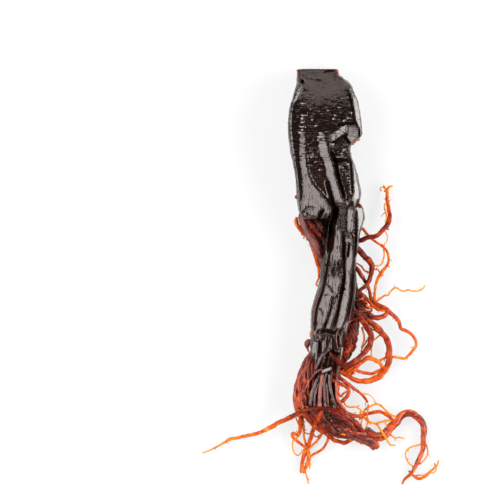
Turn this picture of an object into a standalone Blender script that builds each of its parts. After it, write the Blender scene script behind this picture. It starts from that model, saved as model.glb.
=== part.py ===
"""A steamed and dried ginseng root, lying on its flattened underside.

The crown, the trunk, the side roots and the rootlets grew as one piece, so they are one solid.
Shapes are drawn by hand on a sheet of squares: x runs to the right, y runs down the sheet from the
cut crown to the tail, and z is the height above the surface. SQUARE turns squares into metres.
"""

import math

import bmesh
import bpy
import numpy as np
from mathutils import Vector

# Driving dimensions, in metres
ROOT_LENGTH = 0.1664  # from the cut crown to the lowest rootlet
SQUARES_LONG = 416.0  # the same length on the drawing sheet
SQUARE = ROOT_LENGTH / SQUARES_LONG
SHEET_CENTRE = (321.0, 277.5)  # the drawing's middle, which stands over the origin

# Skin, as sRGB-linear colour, roughness and metallic value
SKIN_COLOUR = (0.045, 0.014, 0.009, 1.0)
SKIN_ROUGHNESS = 0.32
SKIN_METALLIC = 0.0

# The crown and the trunk: how far down the sheet, then the left and right edges
CROWN_EDGES = [
    (69.5, 297.5, 337), (76, 297.5, 339), (84, 297, 349.5), (94, 294, 354), (106, 290.5, 358),
    (120, 288.8, 360), (134, 288.6, 361.5), (140, 289, 356.5), (147, 290, 349.5),
    (158, 292, 351.5), (172, 295, 356.5), (188, 296.3, 360), (198, 297.4, 360.5),
    (206, 298.4, 351), (212, 299.4, 334), (218, 303, 329.5), (222, 308, 326.5),
]
CROWN_TOP = [(69.5, 33), (85, 42), (105, 49), (130, 52), (160, 50), (190, 46), (205, 43), (213, 39),
             (218, 32), (222, 22)]
TRUNK_EDGES = [
    (172, 338, 350), (190, 334, 359), (205, 333, 361), (212, 331, 363), (218, 330, 364.5),
    (224, 328, 362.5), (240, 325, 359), (260, 321.5, 355.5), (280, 320, 356), (288, 318, 357),
    (304, 313, 355), (312, 311.3, 353), (328, 311.5, 348.5), (344, 310.5, 345), (362, 309, 342),
    (382, 306, 339.5), (402, 305.5, 338.5), (410, 307, 339.5), (418, 312, 341), (426, 318, 343),
    (432, 325, 344), (436, 330, 341),
]
TRUNK_TOP = [(172, 24), (190, 35), (202, 41), (215, 42), (240, 38), (280, 38), (320, 36), (350, 33),
             (380, 30), (410, 28), (426, 23), (432, 18), (436, 13)]
CROWN_STEP = 5.4  # from one crown section to the next, in squares
TRUNK_STEP = 6.4
BOX_POWER = 2.5  # 2 is an ellipse, more is boxier
SUNK_SHARE = 0.10  # share of a section's height that the flat underside cuts away
TOP_POINTS = 17  # points across the upper side of a section
SIDE_POINTS = 3  # points down each flank
FLANK_DROP = 0.82  # how far down the lower half the flank points reach
UNDER_POINTS = 3  # points across the flat underside

# Ridges rise and grooves sink along lines on the upper side: reach across, height, then the line
FOLDS = [
    (7.5, 5.0, [(300, 140), (303, 165), (306, 190), (312, 205)]),
    (4.5, 4.5, [(319, 140), (323, 155), (330, 172), (335, 190), (341, 205)]),
    (8.0, -5.0, [(312, 145), (316, 170), (322, 190), (329, 205)]),
    (4.0, -4.0, [(331, 158), (336, 176), (341, 192), (346, 201)]),
    (4.0, 3.5, [(356, 158), (357, 180), (358, 198)]),
    (7.0, 3.5, [(352, 124), (354, 134), (351, 141)]),
    (3.0, -4.0, [(330, 235), (328, 255), (322, 290), (316, 315)]),
    (5.5, 3.0, [(336, 232), (330, 265), (323, 292), (318, 318)]),
    (3.5, -4.0, [(341, 230), (340, 262), (333, 300), (326, 328)]),
    (3.5, 4.0, [(350, 212), (349, 250), (345, 290), (339, 325)]),
    (3.0, -3.5, [(354.5, 215), (353, 255), (349, 295), (346, 315)]),
]

# Side roots and rootlets: half-widths spread evenly along the route, then the route's points
LARGE_ROOTS = {
    "side_root": ((3.2, 4.4, 4.4, 3.6, 2.2), [
        (301, 214, 25), (303.5, 224, 26), (307, 231, 26.5), (311.5, 238, 27), (315.5, 245, 28),
        (318.5, 252, 28), (323, 260, 26)]),
    "left_band": ((4.0, 6.0, 7.4, 8.6, 9.0, 8.6, 6.0), [
        (315, 344, 24), (311.5, 354, 24), (308, 370, 23), (304, 384, 21), (302.5, 396, 19),
        (302.5, 408, 17), (303, 417, 16)]),
    "tail_stub": ((8.0, 7.8, 7.0, 6.4, 4.4), [
        (334, 420, 16), (346, 428, 15), (356, 433, 14.5), (366, 438.5, 12.5), (375.5, 446, 9)]),
    "red_mass": ((4.0, 6.8, 7.6, 7.2, 4.6), [
        (356, 320, 23), (353, 330, 23), (350.5, 339, 24), (348, 349, 23), (340, 360, 20)]),
    "long_tail": ((4.8, 4.3, 3.9, 3.6, 3.2, 2.9, 2.6, 2.3, 2.4, 1.6, 1.3), [
        (366, 431, 13), (378, 436.5, 12.5), (384, 435.5, 11), (388.5, 431, 10), (392.5, 426, 9.5),
        (397, 421.5, 9), (401, 416.5, 8.5), (406, 413.8, 8), (411.5, 413.8, 7.5), (416.5, 416.5, 7),
        (421, 420.8, 6.5), (423.8, 426.5, 6), (424.2, 433, 5.5), (423.8, 440, 5), (423.3, 447, 5),
        (421.8, 453, 5), (419.5, 459, 4.8), (416.5, 465, 4.5), (413.5, 470.5, 4.3),
        (410.5, 475, 4), (406, 478.5, 3.8), (403.8, 481.5, 3.6), (402.5, 485, 3.4)]),
}
ROOTLETS = {
    "upper_arm": ((3.6, 2.6, 2.4, 2.3, 2.6, 1.9, 1.6), [
        (346, 243, 20), (361, 240.5, 21), (368, 237.5, 22), (375, 236, 22), (381, 232.5, 21),
        (385.5, 227.5, 19), (388.5, 221, 16), (389.5, 214.5, 13), (388.5, 208, 11),
        (387.3, 201, 9), (387.2, 194, 8), (386.8, 187.5, 7.5)]),
    "upper_fray_right": ((1.4, 1.2, 0.9), [(386.8, 191, 7.6), (389.5, 187.2, 7.6), (393, 185.7, 7.4)]),
    "upper_fray_left": ((1.4, 1.1, 0.9), [(387, 190.5, 7.6), (384.5, 186.5, 7.6), (380.8, 186.8, 7.4)]),
    "upper_strand": ((0.9, 0.9), [
        (387.5, 201, 9), (384.8, 205, 10.5), (384.7, 211, 13), (386.5, 217, 16), (385.5, 222, 18),
        (386, 229, 19)]),
    "crossing_wire": ((1.5, 1.3, 1.2, 1.2, 1.3, 2.0, 1.3, 1.7, 1.5), [
        (352, 223, 20), (362.5, 229, 18.4), (369, 236, 17), (376.5, 242.2, 15), (383, 246.5, 14),
        (388.2, 254, 11), (388.8, 259, 10), (385.5, 267.8, 9.5), (380, 275.5, 10.5),
        (376, 284.5, 12), (374.5, 296, 14), (376, 306, 17)]),
    "crossing_branch": ((1.0, 0.9), [
        (383, 246.5, 14), (384.2, 256, 11.8), (380.8, 264.8, 13), (372, 265.2, 16.5)]),
    "dark_elbow": ((3.2, 3.1, 3.0, 2.8, 2.3, 2.0, 1.7), [
        (349, 243, 20), (360.5, 252.5, 20), (369.5, 261.5, 18), (372, 267, 17), (371, 276, 17),
        (366, 285, 19.5), (358.5, 292, 22), (350, 299, 23)]),
    "crossing_root": ((2.4, 2.2, 1.8, 1.6, 1.5), [
        (348, 259, 19), (360.5, 274, 17), (366.5, 284, 15), (370, 294.5, 15.5), (373.5, 305.5, 18),
        (377.5, 309.5, 18.5), (387.5, 310, 16)]),
    "far_loop": ((2.6, 2.4, 1.9, 1.7, 1.5, 1.4, 1.3, 1.2), [
        (372, 302, 17), (380, 306, 17.5), (389, 311.5, 15.5), (397, 319, 11.5), (401.3, 328.8, 8.5),
        (410, 333.6, 7), (414, 337.3, 6.5), (416.4, 344, 6), (413.5, 349.5, 6), (405.5, 358.8, 7),
        (399.5, 358, 7.5), (387, 357.5, 8.5), (377, 362.5, 10.5)]),
    "fold_back": ((2.2, 2.6, 2.2), [
        (358, 308, 26), (368.5, 314.5, 22), (378.5, 317.8, 19), (386, 314, 16.8), (386.5, 309, 16)]),
    "kinked_wire": ((1.1, 1.0, 0.9, 0.8), [
        (374.5, 302.5, 15.5), (384.5, 295.8, 12.5), (390, 292.3, 10.5), (396.5, 287.8, 8.5),
        (402, 290.8, 7.2), (408.5, 289.9, 6.5), (418.5, 291, 5), (423, 289, 4.5), (425.5, 285, 4)]),
    "big_arc": ((2.2, 2.5, 2.5, 2.6, 2.8, 2.9, 2.4, 2.0, 1.7), [
        (352, 309, 28), (366, 318.3, 24), (376, 326, 20), (385.3, 337, 15), (389.3, 349, 11.5),
        (388.3, 363, 11.5), (381, 375, 14), (368, 380.8, 18.5), (353.5, 378.8, 24),
        (342, 372.5, 26), (332, 367, 24)]),
    "inner_loop": ((2.3, 2.8, 2.6, 2.4, 2.1, 1.8), [
        (350, 308, 28), (362, 319.5, 26.5), (369.5, 331.5, 23.5), (370.5, 340, 22.5),
        (365.5, 350.5, 24), (354.5, 360.8, 29), (341.5, 363.8, 32), (331.5, 355, 32),
        (325, 347, 30)]),
    "orange_strap": ((1.8, 2.2, 2.2, 1.8, 1.6), [
        (346, 374, 21), (358, 365, 18), (367, 357.8, 15.5), (376, 360.8, 13.5), (381.5, 367.5, 12.5),
        (380, 376, 14.2)]),
    "strap_low": ((1.6, 1.6), [
        (344, 368, 22), (357, 370.5, 19), (368, 373.3, 15.5), (381, 370, 12.8)]),
    "short_arm": ((2.2, 1.9, 1.6, 1.3), [
        (330, 371, 25), (343.5, 380.3, 23), (353.5, 388.5, 17), (362, 394.3, 12.5), (368, 402.8, 9)]),
    "eye_ring": ((1.9, 1.8, 1.8), [
        (330, 379, 25), (344.5, 385.3, 23), (348.2, 391.5, 20.5), (345.5, 398, 20.5), (334, 404, 23)]),
    "low_band": ((1.9, 1.8, 1.7), [
        (330, 400, 25), (339, 407, 24), (350, 414, 19), (362.5, 415.6, 14.5), (370, 413, 13.4)]),
    "hoop": ((1.2, 1.0, 1.0, 1.0), [
        (359, 417, 13.5), (365.5, 409.3, 12.5), (376, 404.3, 11), (380.5, 405.2, 10.5),
        (388.5, 413.2, 11), (398, 418, 10.5)]),
    "pink_arch": ((1.8, 1.7, 1.8, 1.6), [
        (344, 416, 20), (364, 414.5, 14.5), (376, 411.8, 13), (386, 414.8, 12), (396.5, 422, 10.5)]),
    "drop_strand": ((1.0, 1.0), [
        (368.2, 404, 10.5), (367.3, 412, 14.4), (368.4, 421.3, 12.8), (366, 432, 12.5)]),
    "pale_runner": ((1.4, 1.2, 1.1, 1.0, 1.0), [
        (360, 412.5, 15.5), (369, 422, 11), (376.5, 424.5, 9.5), (381.5, 431, 11),
        (387, 439.8, 11), (391.3, 445.2, 6), (396, 445.6, 4)]),
    "pale_branch": ((1.1, 1.1), [(376.5, 424.5, 9.5), (388.5, 420.7, 11), (396, 420, 10.5)]),
    "tail_yellow": ((1.0, 1.0), [
        (425, 444.5, 5), (412, 447.2, 4), (407.2, 451.5, 3.6), (407, 460, 3.6), (415, 469, 4.3)]),
    "tail_sweep": ((1.3, 1.4, 1.5, 1.3, 0.9), [
        (409, 471, 4.2), (416.5, 478.8, 3.5), (425.5, 476.8, 3.4), (435, 468.2, 3.3),
        (439.6, 460.3, 3)]),
    "yellow_spur": ((1.3, 1.0, 0.8), [
        (386, 432.5, 10), (395.8, 438.3, 6), (405.3, 439.3, 3)]),
    "left_reach": ((0.9, 1.1, 1.5, 1.7, 2.0, 2.3, 2.1, 2.0, 2.0, 2.0, 2.2), [
        (202, 453.5, 3), (212, 449.5, 3.2), (224, 443, 3.8), (229.5, 439.3, 4), (243, 437, 5),
        (256.5, 434, 6.5), (268.5, 428.5, 9), (280.5, 422, 13.5), (291.5, 416, 19),
        (303, 410.8, 24.6), (316, 408.3, 27.5), (330, 408.6, 27.5)]),
    "reach_twin": ((1.2, 1.2), [(277, 425, 11.8), (291, 419, 17.2), (304, 412, 23)]),
    "right_wrap": ((2.4, 2.6, 3.0, 2.8), [
        (326, 406, 27), (342, 413.5, 26), (353.5, 421.5, 20.5), (360, 430, 15)]),
    "left_drop": ((3.0, 2.3, 1.9, 1.6, 1.5, 1.4), [
        (300.5, 409, 16), (300.5, 427, 11.5), (298, 434, 9), (293, 434, 7.6), (293.5, 438, 7),
        (302, 444.8, 6), (308.5, 451, 5.8)]),
    "lantern_loop": ((1.1, 1.0), [
        (293.8, 436, 7), (292.8, 449, 5), (297.8, 455.7, 4.3), (305.5, 447, 5.6)]),
    "drop_wire": ((1.2, 1.2), [(303, 418, 12), (304, 436, 8), (306.5, 451, 5.8)]),
    "centre_drop": ((2.4, 2.2, 2.2, 2.1, 2.0, 1.9), [
        (320, 409, 24), (316, 422, 20), (312, 433, 14.5), (309.3, 444, 8), (304.3, 455, 5.5),
        (301.8, 467.5, 4.5), (301.2, 473.5, 4.3)]),
    "orange_drop": ((1.8, 2.2, 1.9, 1.4), [
        (307, 447, 7), (308.8, 458, 5), (306, 467, 4.4), (302.5, 473, 4.1)]),
    "toe_wire": ((1.2, 0.9, 0.8), [(304.5, 466, 4.3), (306, 474, 3.5), (308.7, 484.2, 2.8)]),
    "right_bow": ((1.4, 1.4, 1.4), [
        (327, 425, 12), (327.4, 440, 7.8), (321.5, 450.3, 6), (310, 457, 5.2)]),
    "slant": ((1.3, 1.3), [(323.5, 426, 12), (318, 439.8, 8.5), (307.5, 450, 6)]),
    "bottom_wrap": ((2.6, 2.2, 2.0, 2.4), [
        (312, 418, 16), (323, 430, 12), (335.5, 440.8, 7.5), (349, 441.5, 7.5), (357, 434, 10)]),
    "low_wrap": ((2.6, 2.4, 2.4), [
        (310, 414, 19), (320, 424.5, 18), (334.5, 434.5, 14.5), (350, 436, 14)]),
    "side_flap": ((1.6, 2.2, 1.8), [
        (296.5, 217, 20), (298, 226.5, 21), (306, 237, 24)]),
    "side_under": ((1.4, 2.4, 1.6, 1.2), [
        (309, 237, 20), (314, 250, 17), (319.3, 271, 15.5), (317.5, 282, 13.5), (324, 287, 13)]),
    "lobe_root": ((2.0, 2.0), [(308, 217, 27), (316.5, 232.5, 27), (326, 242, 25)]),
    "crown_nub": ((1.8, 1.4), [(302, 197, 20), (295.5, 197, 19)]),
    "left_nub": ((2.6, 2.4, 1.2), [(316, 338, 18), (306.5, 343.5, 15.5), (308.8, 352, 14.5)]),
    "tangle_high": ((2.4, 2.0, 1.6), [
        (350, 288, 26), (361.5, 294.5, 26), (369.5, 302, 22), (371, 314, 21)]),
    "tangle_low": ((2.0, 1.8), [(346, 320, 27), (357.5, 317.5, 27), (371, 309.5, 21)]),
}
LARGE_RESOLUTION = 2  # eight sides
ROOTLET_RESOLUTION = 1  # six sides
NODE_NAME = "ginseng_root"
WELD = 1e-7
FLAT_ANGLE = math.radians(0.5)  # faces closer to level with each other than this are dissolved


def place(x, y, z):
    """Sheet squares to metres in the part's own frame."""
    return Vector(((x - SHEET_CENTRE[0]) * SQUARE, (SHEET_CENTRE[1] - y) * SQUARE, z * SQUARE))


def clear_scene():
    for item in list(bpy.data.objects):
        bpy.data.objects.remove(item, do_unlink=True)


def new_collection(name):
    collection = bpy.data.collections.new(name)
    bpy.context.scene.collection.children.link(collection)
    return collection


def read_table(table, y, column):
    """Reads one column of a table at a place down the sheet, in straight lines between its rows."""
    return float(np.interp(y, [row[0] for row in table], [row[column] for row in table]))


def distance_to_line(x, y, line):
    """Shortest way from a point to a line of straight pieces, in squares."""
    point = Vector((x, y))
    nearest = math.inf
    for start, end in zip(line[:-1], line[1:]):
        a = Vector(start)
        piece = Vector(end) - a
        share = max(0.0, min(1.0, (point - a).dot(piece) / piece.length_squared))
        nearest = min(nearest, (point - a - piece * share).length)
    return nearest


def fold_height(x, y):
    """Sum of the ridges and grooves at a place on the upper side."""
    return sum(height * math.exp(-((distance_to_line(x, y, line) / reach) ** 2))
               for reach, height, line in FOLDS)


def section_points(left, right, top, y, under):
    """One closed section across the root: its upper side, its flanks and its flat underside."""
    middle = (left + right) / 2
    half = (right - left) / 2
    height = top / (1 - SUNK_SHARE) / 2
    centre = top - height
    points = []
    for i in range(TOP_POINTS):
        angle = math.pi * (0.08 + 0.84 * i / (TOP_POINTS - 1))
        across = math.cos(angle)
        rise = (1 - abs(across) ** BOX_POWER) ** (1 / BOX_POWER)
        x = middle + half * across
        weight = min(1.0, (1 - abs(across)) * 4)
        points.append((x, y, centre + height * rise + weight * fold_height(x, y)))
    flanks = []
    for i in range(SIDE_POINTS):
        drop = FLANK_DROP * i / (SIDE_POINTS - 1)
        flanks.append((half * (1 - drop ** BOX_POWER) ** (1 / BOX_POWER), centre - height * drop))
    points += [(middle - across, y, z) for across, z in flanks]
    flat = half * (1 - (1 - SUNK_SHARE) ** BOX_POWER) ** (1 / BOX_POWER)
    for i in range(UNDER_POINTS):
        points.append((middle - flat + 2 * flat * i / (UNDER_POINTS - 1), y, under))
    points += [(middle + across, y, z) for across, z in reversed(flanks)]
    return points


def loft(name, edges, tops, step, under, collection):
    """A solid through sections read from a table of edges and a table of top heights."""
    first, last = edges[0][0], edges[-1][0]
    count = round((last - first) / step)
    bm = bmesh.new()
    rings = []
    for i in range(count + 1):
        y = first + (last - first) * i / count
        points = section_points(read_table(edges, y, 1), read_table(edges, y, 2),
                                read_table(tops, y, 1), y, under(y))
        rings.append([bm.verts.new(place(*point)) for point in points])
    for ring, following in zip(rings[:-1], rings[1:]):
        for k in range(len(ring)):
            after = (k + 1) % len(ring)
            bm.faces.new((ring[k], ring[after], following[after], following[k]))
    bm.faces.new(list(reversed(rings[0])))
    bm.faces.new(rings[-1])
    bmesh.ops.recalc_face_normals(bm, faces=bm.faces)
    mesh = bpy.data.meshes.new(name)
    bm.to_mesh(mesh)
    bm.free()
    solid = bpy.data.objects.new(name, mesh)
    collection.objects.link(solid)
    return solid


def crown_under(y):
    """The crown's underside is flat and stands on the surface."""
    return 0.0


def trunk_under(y):
    """The trunk's underside stands clear of the crown's where they overlap, then meets the surface."""
    return float(np.interp(y, [172, 222, 234], [3.0, 1.5, 0.0]))


def rootlet(name, half_widths, route, resolution, collection):
    """A tapering tube along a route, as a closed mesh."""
    curve = bpy.data.curves.new(name, "CURVE")
    curve.dimensions = "3D"
    curve.bevel_depth = SQUARE
    curve.bevel_resolution = resolution
    curve.use_fill_caps = True
    curve.render_resolution_u = 0
    spline = curve.splines.new("POLY")
    spline.points.add(len(route) - 1)
    shares = np.linspace(0, 1, len(half_widths))
    for i, (point, at) in enumerate(zip(spline.points, route)):
        point.co = (*place(*at), 1.0)
        point.radius = float(np.interp(i / (len(route) - 1), shares, half_widths))
    guide = bpy.data.objects.new(name, curve)
    collection.objects.link(guide)
    bpy.context.view_layer.update()
    depsgraph = bpy.context.evaluated_depsgraph_get()
    mesh = bpy.data.meshes.new_from_object(guide.evaluated_get(depsgraph))
    bm = bmesh.new()
    bm.from_mesh(mesh)
    bmesh.ops.remove_doubles(bm, verts=bm.verts, dist=WELD)
    bmesh.ops.recalc_face_normals(bm, faces=bm.faces)
    bm.to_mesh(mesh)
    bm.free()
    tube = bpy.data.objects.new(name, mesh)
    tube.matrix_world = guide.matrix_world
    collection.objects.link(tube)
    bpy.data.objects.remove(guide, do_unlink=True)
    return tube


def join_all(trunk_and_rootlets, crown):
    """One Boolean union of the crown with everything that grows from it."""
    union = crown.modifiers.new("grown together", "BOOLEAN")
    union.operation = "UNION"
    union.operand_type = "COLLECTION"
    union.collection = trunk_and_rootlets
    union.solver = "EXACT"
    bpy.context.view_layer.objects.active = crown
    bpy.ops.object.modifier_apply(modifier=union.name)
    for item in list(trunk_and_rootlets.objects):
        bpy.data.objects.remove(item, do_unlink=True)
    bpy.data.collections.remove(trunk_and_rootlets)


def pieces_of(bm):
    """The groups of vertices that hang together."""
    left = set(bm.verts)
    groups = []
    while left:
        front = [left.pop()]
        group = set(front)
        while front:
            for edge in front.pop().link_edges:
                for vert in edge.verts:
                    if vert in left:
                        left.remove(vert)
                        group.add(vert)
                        front.append(vert)
        groups.append(group)
    return groups


def keep_outer_skin(solid):
    """Fills what the union sealed in and drops loose scraps, then tidies the faces."""
    bm = bmesh.new()
    bm.from_mesh(solid.data)
    groups = sorted(pieces_of(bm), key=len)
    bmesh.ops.delete(bm, geom=[vert for group in groups[:-1] for vert in group], context="VERTS")
    bmesh.ops.dissolve_limit(bm, angle_limit=FLAT_ANGLE, verts=bm.verts, edges=bm.edges)
    bmesh.ops.triangulate(bm, faces=bm.faces)
    bmesh.ops.recalc_face_normals(bm, faces=bm.faces)
    bm.to_mesh(solid.data)
    bm.free()


def skin_material():
    skin = bpy.data.materials.new("steamed root skin")
    skin.use_nodes = True
    shader = skin.node_tree.nodes["Principled BSDF"]
    shader.inputs["Base Color"].default_value = SKIN_COLOUR
    shader.inputs["Roughness"].default_value = SKIN_ROUGHNESS
    shader.inputs["Metallic"].default_value = SKIN_METALLIC
    return skin


def main():
    clear_scene()
    parts = new_collection("ginseng root")
    grown = new_collection("trunk and rootlets")
    root = loft(NODE_NAME, CROWN_EDGES, CROWN_TOP, CROWN_STEP, crown_under, parts)
    loft("trunk", TRUNK_EDGES, TRUNK_TOP, TRUNK_STEP, trunk_under, grown)
    for name, (half_widths, route) in LARGE_ROOTS.items():
        rootlet(name, half_widths, route, LARGE_RESOLUTION, grown)
    for name, (half_widths, route) in ROOTLETS.items():
        rootlet(name, half_widths, route, ROOTLET_RESOLUTION, grown)
    join_all(grown, root)
    keep_outer_skin(root)
    root.data.materials.clear()
    root.data.materials.append(skin_material())
    root.data.shade_smooth()
    root.data.set_sharp_from_angle(angle=math.radians(50))


main()
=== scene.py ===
"""The looks of a steamed and dried ginseng root: its wrinkled skin, side roots, rootlets and fibres.

Everything is drawn on a sheet of squares: x runs to the right, y runs down the sheet from the cut
crown to the tail, and z is the height above the surface. The settings give the root's real length.
"""

import math
import random

import bmesh
import bpy
import numpy as np
from bpy.props import FloatProperty, FloatVectorProperty, PointerProperty
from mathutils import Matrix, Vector, noise


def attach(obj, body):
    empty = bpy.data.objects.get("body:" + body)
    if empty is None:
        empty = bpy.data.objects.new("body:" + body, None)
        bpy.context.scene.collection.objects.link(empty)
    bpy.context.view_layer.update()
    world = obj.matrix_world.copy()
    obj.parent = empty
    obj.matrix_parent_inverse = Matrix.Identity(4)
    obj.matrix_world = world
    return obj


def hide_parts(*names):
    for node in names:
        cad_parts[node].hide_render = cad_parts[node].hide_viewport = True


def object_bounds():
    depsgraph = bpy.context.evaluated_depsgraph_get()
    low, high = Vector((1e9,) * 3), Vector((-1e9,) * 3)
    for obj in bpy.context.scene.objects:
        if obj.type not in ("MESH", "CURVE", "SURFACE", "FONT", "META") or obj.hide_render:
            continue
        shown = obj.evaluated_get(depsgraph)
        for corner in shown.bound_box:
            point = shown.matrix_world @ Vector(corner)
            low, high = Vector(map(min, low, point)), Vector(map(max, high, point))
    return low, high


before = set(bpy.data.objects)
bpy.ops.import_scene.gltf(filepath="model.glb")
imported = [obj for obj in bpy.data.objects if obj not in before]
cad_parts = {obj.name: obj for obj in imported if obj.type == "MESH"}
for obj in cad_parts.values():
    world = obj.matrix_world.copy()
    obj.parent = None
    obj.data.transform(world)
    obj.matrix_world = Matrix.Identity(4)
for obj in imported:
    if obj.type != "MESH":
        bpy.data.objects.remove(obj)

bl_info = {
    "name": "Ginseng Root",
    "version": (1, 0, 0),
    "blender": (4, 5, 0),
    "location": "View3D > Sidebar > Ginseng Root",
    "description": "Builds a steamed and dried ginseng root and its plain studio",
    "category": "Object",
}

NODE = "ginseng_root"
BODY = "root"
CAD_BOX = [list(corner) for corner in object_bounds()]

SQUARES_LONG = 416.0  # the root's length on the drawing sheet
SHEET_CENTRE = (321.0, 277.5)  # the drawing's middle, which stands over the origin
VIEW_CENTRE = (250.0, 250.0)  # what the camera looks straight down at
VIEW_HEIGHT = 14.0  # and where the lights meet, in squares above the surface
VIEW_WIDTH = 500.0  # squares across the camera's view
LIGHT_DISTANCE = 0.9  # metres from each softbox to the root


class GinsengRootSettings(bpy.types.PropertyGroup):
    """Sizes and colours of the root."""

    length: FloatProperty(
        name="Length", description="From the cut crown to the lowest rootlet",
        default=0.1664, unit="LENGTH", subtype="DISTANCE")
    grain: FloatProperty(
        name="Grain", description="Edge of the small squares that the crown and trunk are meshed in",
        default=0.000345, unit="LENGTH", subtype="DISTANCE")
    fold_depth: FloatProperty(
        name="Fold depth", description="How strongly ridges and grooves are raised, where 1 is as drawn",
        default=1.0, subtype="FACTOR")
    black_skin: FloatVectorProperty(
        name="Black skin", description="Colour of the steamed skin where it is thickest",
        default=(0.0085, 0.0026, 0.0016), size=3, subtype="COLOR")
    # painted shade: the dark colour that the skin takes in its creases, ripple lines and pitted spots,
    # where shade falls
    crease_shade: FloatVectorProperty(
        name="Creases", description="Colour of the bottom of creases, which don't shine",
        default=(0.0040, 0.0014, 0.0010), size=3, subtype="COLOR")
    brown_skin: FloatVectorProperty(
        name="Brown skin", description="Colour of the skin in thin and sunken patches",
        default=(0.0180, 0.0072, 0.0034), size=3, subtype="COLOR")
    # also the colour that the painted crease shade takes where the skin is warm, as in the trunk's
    # grooves
    maroon_skin: FloatVectorProperty(
        name="Maroon skin", description="Colour of the darkest side roots and of the trunk's grooves",
        default=(0.036, 0.0042, 0.0022), size=3, subtype="COLOR")
    red_skin: FloatVectorProperty(
        name="Red skin", description="Colour of the side roots",
        default=(0.115, 0.0058, 0.0016), size=3, subtype="COLOR")
    orange_skin: FloatVectorProperty(
        name="Orange skin", description="Colour of the thin rootlets",
        default=(0.40, 0.045, 0.0018), size=3, subtype="COLOR")
    yellow_skin: FloatVectorProperty(
        name="Yellow skin", description="Colour of the finest tips and fibres",
        default=(0.60, 0.20, 0.010), size=3, subtype="COLOR")


class GinsengStageSettings(bpy.types.PropertyGroup):
    """Floor, lights and camera."""

    floor_colour: FloatVectorProperty(
        name="Floor", description="Colour of the floor", default=(0.147, 0.147, 0.147), size=3,
        subtype="COLOR")
    floor_glow: FloatProperty(
        name="Floor glow", description="Light that comes up through the floor", default=0.71)
    left_light: FloatProperty(
        name="Left softbox", description="Power of the softbox on the left", default=14.4, unit="POWER")
    right_light: FloatProperty(
        name="Right softbox", description="Power of the softbox on the right", default=20.0,
        unit="POWER")
    far_light: FloatProperty(
        name="Far softbox", description="Power of the softbox beyond the crown", default=3.9,
        unit="POWER")
    near_light: FloatProperty(
        name="Near softbox", description="Power of the softbox beyond the tail", default=3.0,
        unit="POWER")
    room_light: FloatProperty(
        name="Room", description="Brightness of the room's walls", default=1.0)
    lens: FloatProperty(name="Lens", description="Focal length in millimetres", default=400.0)


def square():
    """Side of one drawing square in metres."""
    return bpy.context.scene.ginseng_root.length / SQUARES_LONG


def to_metres(points):
    """Sheet squares, as rows of x, y and z, to metres in the part's own frame."""
    points = np.asarray(points, float)
    return np.column_stack([points[:, 0] - SHEET_CENTRE[0], SHEET_CENTRE[1] - points[:, 1],
                            points[:, 2]]) * square()


def to_squares(points):
    """Metres to sheet squares."""
    points = np.asarray(points, float) / square()
    return np.column_stack([points[:, 0] + SHEET_CENTRE[0], SHEET_CENTRE[1] - points[:, 1],
                            points[:, 2]])


# The crown and the trunk: how far down the sheet, then the left and right edges
CROWN_EDGES = [
    (69.5, 297.5, 337), (76, 297.5, 339), (80, 297.2, 344.5), (84, 297, 349.5), (88, 295.6, 352),
    (94, 294, 354), (100, 292.3, 356.8), (106, 290.5, 358), (112, 289.2, 359), (120, 288.8, 360),
    (128, 288.6, 361), (134, 288.6, 361.5), (137.5, 288.8, 359.8), (140, 289, 356.5),
    (144, 289.5, 351.8), (147, 290, 349.5), (152, 290.8, 350), (158, 292, 351.5),
    (165, 293.6, 354.5), (172, 295, 356.5), (180, 295.8, 358), (188, 296.3, 360),
    (195, 297, 360.9), (200, 297.5, 359.5), (206, 298.4, 351), (212, 299.4, 334),
    (216, 301.2, 331), (219, 303.8, 329), (221.5, 307, 327), (223, 311, 324),
]
CROWN_TOP = [(69.5, 34.4), (75, 37.1), (80, 39.4), (85, 41.5), (90, 43.5), (95, 45.3), (100, 46.8),
             (105, 48.0), (108, 48.4), (112, 48.6), (125, 48.7), (145, 48.2), (165, 46.8), (190, 44.6),
             (205, 42.8), (214, 42.2), (218.4, 41.6), (220.6, 39), (222, 33), (223, 20)]
TRUNK_EDGES = [
    (172, 338, 350), (190, 334, 359), (199, 333, 360.5), (203, 333, 358.4), (206, 333, 362),
    (212, 331, 363.6), (218, 330, 364.5), (224, 328, 362.5), (231, 326.5, 360.3), (240, 325, 359),
    (250, 323, 357.5), (260, 321.5, 355.5), (270, 320.5, 355.2), (280, 320, 356), (288, 318, 357),
    (296, 315.5, 356.5), (304, 313, 355), (312, 311.3, 353), (320, 311, 351), (328, 311.5, 348.5),
    (336, 311.3, 346.5), (344, 310.5, 345), (352, 311, 343.5), (362, 309.5, 342),
    (372, 307.5, 340.5), (382, 306, 339.5), (392, 305.5, 338.5), (402, 305.5, 338.5),
    (410, 307, 339.5), (418, 312, 341), (426, 318, 343), (432, 325, 344), (436, 330, 341),
]
TRUNK_TOP = [(172, 24), (190, 35), (202, 41), (215, 42), (240, 38), (280, 38), (320, 36), (350, 33),
             (380, 29), (410, 27), (426, 22), (432, 17), (436, 12)]
SECTION_STEP = 1.6  # squares from one section to the next
SECTION_POINTS = 72
# How boxy a section's left and right half are, where 2 is an ellipse
CROWN_BOX = [(69.5, 9, 6), (80, 13, 11), (96, 16, 15), (108, 18, 15), (138, 18, 13), (150, 18, 5.5),
             (200, 14, 4.8), (223, 7, 5)]
TRUNK_BOX = [(172, 5, 6), (290, 5, 6), (334, 9, 7), (356, 9, 7), (380, 4, 4), (436, 3, 3)]
SUNK_SHARE = 0.10  # share of a section's height that the flat underside cuts away
HIGHEST = 53.0  # no skin rises above this
EASE_TO_HIGHEST = 2.3  # squares below it where rising skin starts to level off
LOFTS = ((CROWN_EDGES, CROWN_TOP, CROWN_BOX), (TRUNK_EDGES, TRUNK_TOP, TRUNK_BOX))
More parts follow.
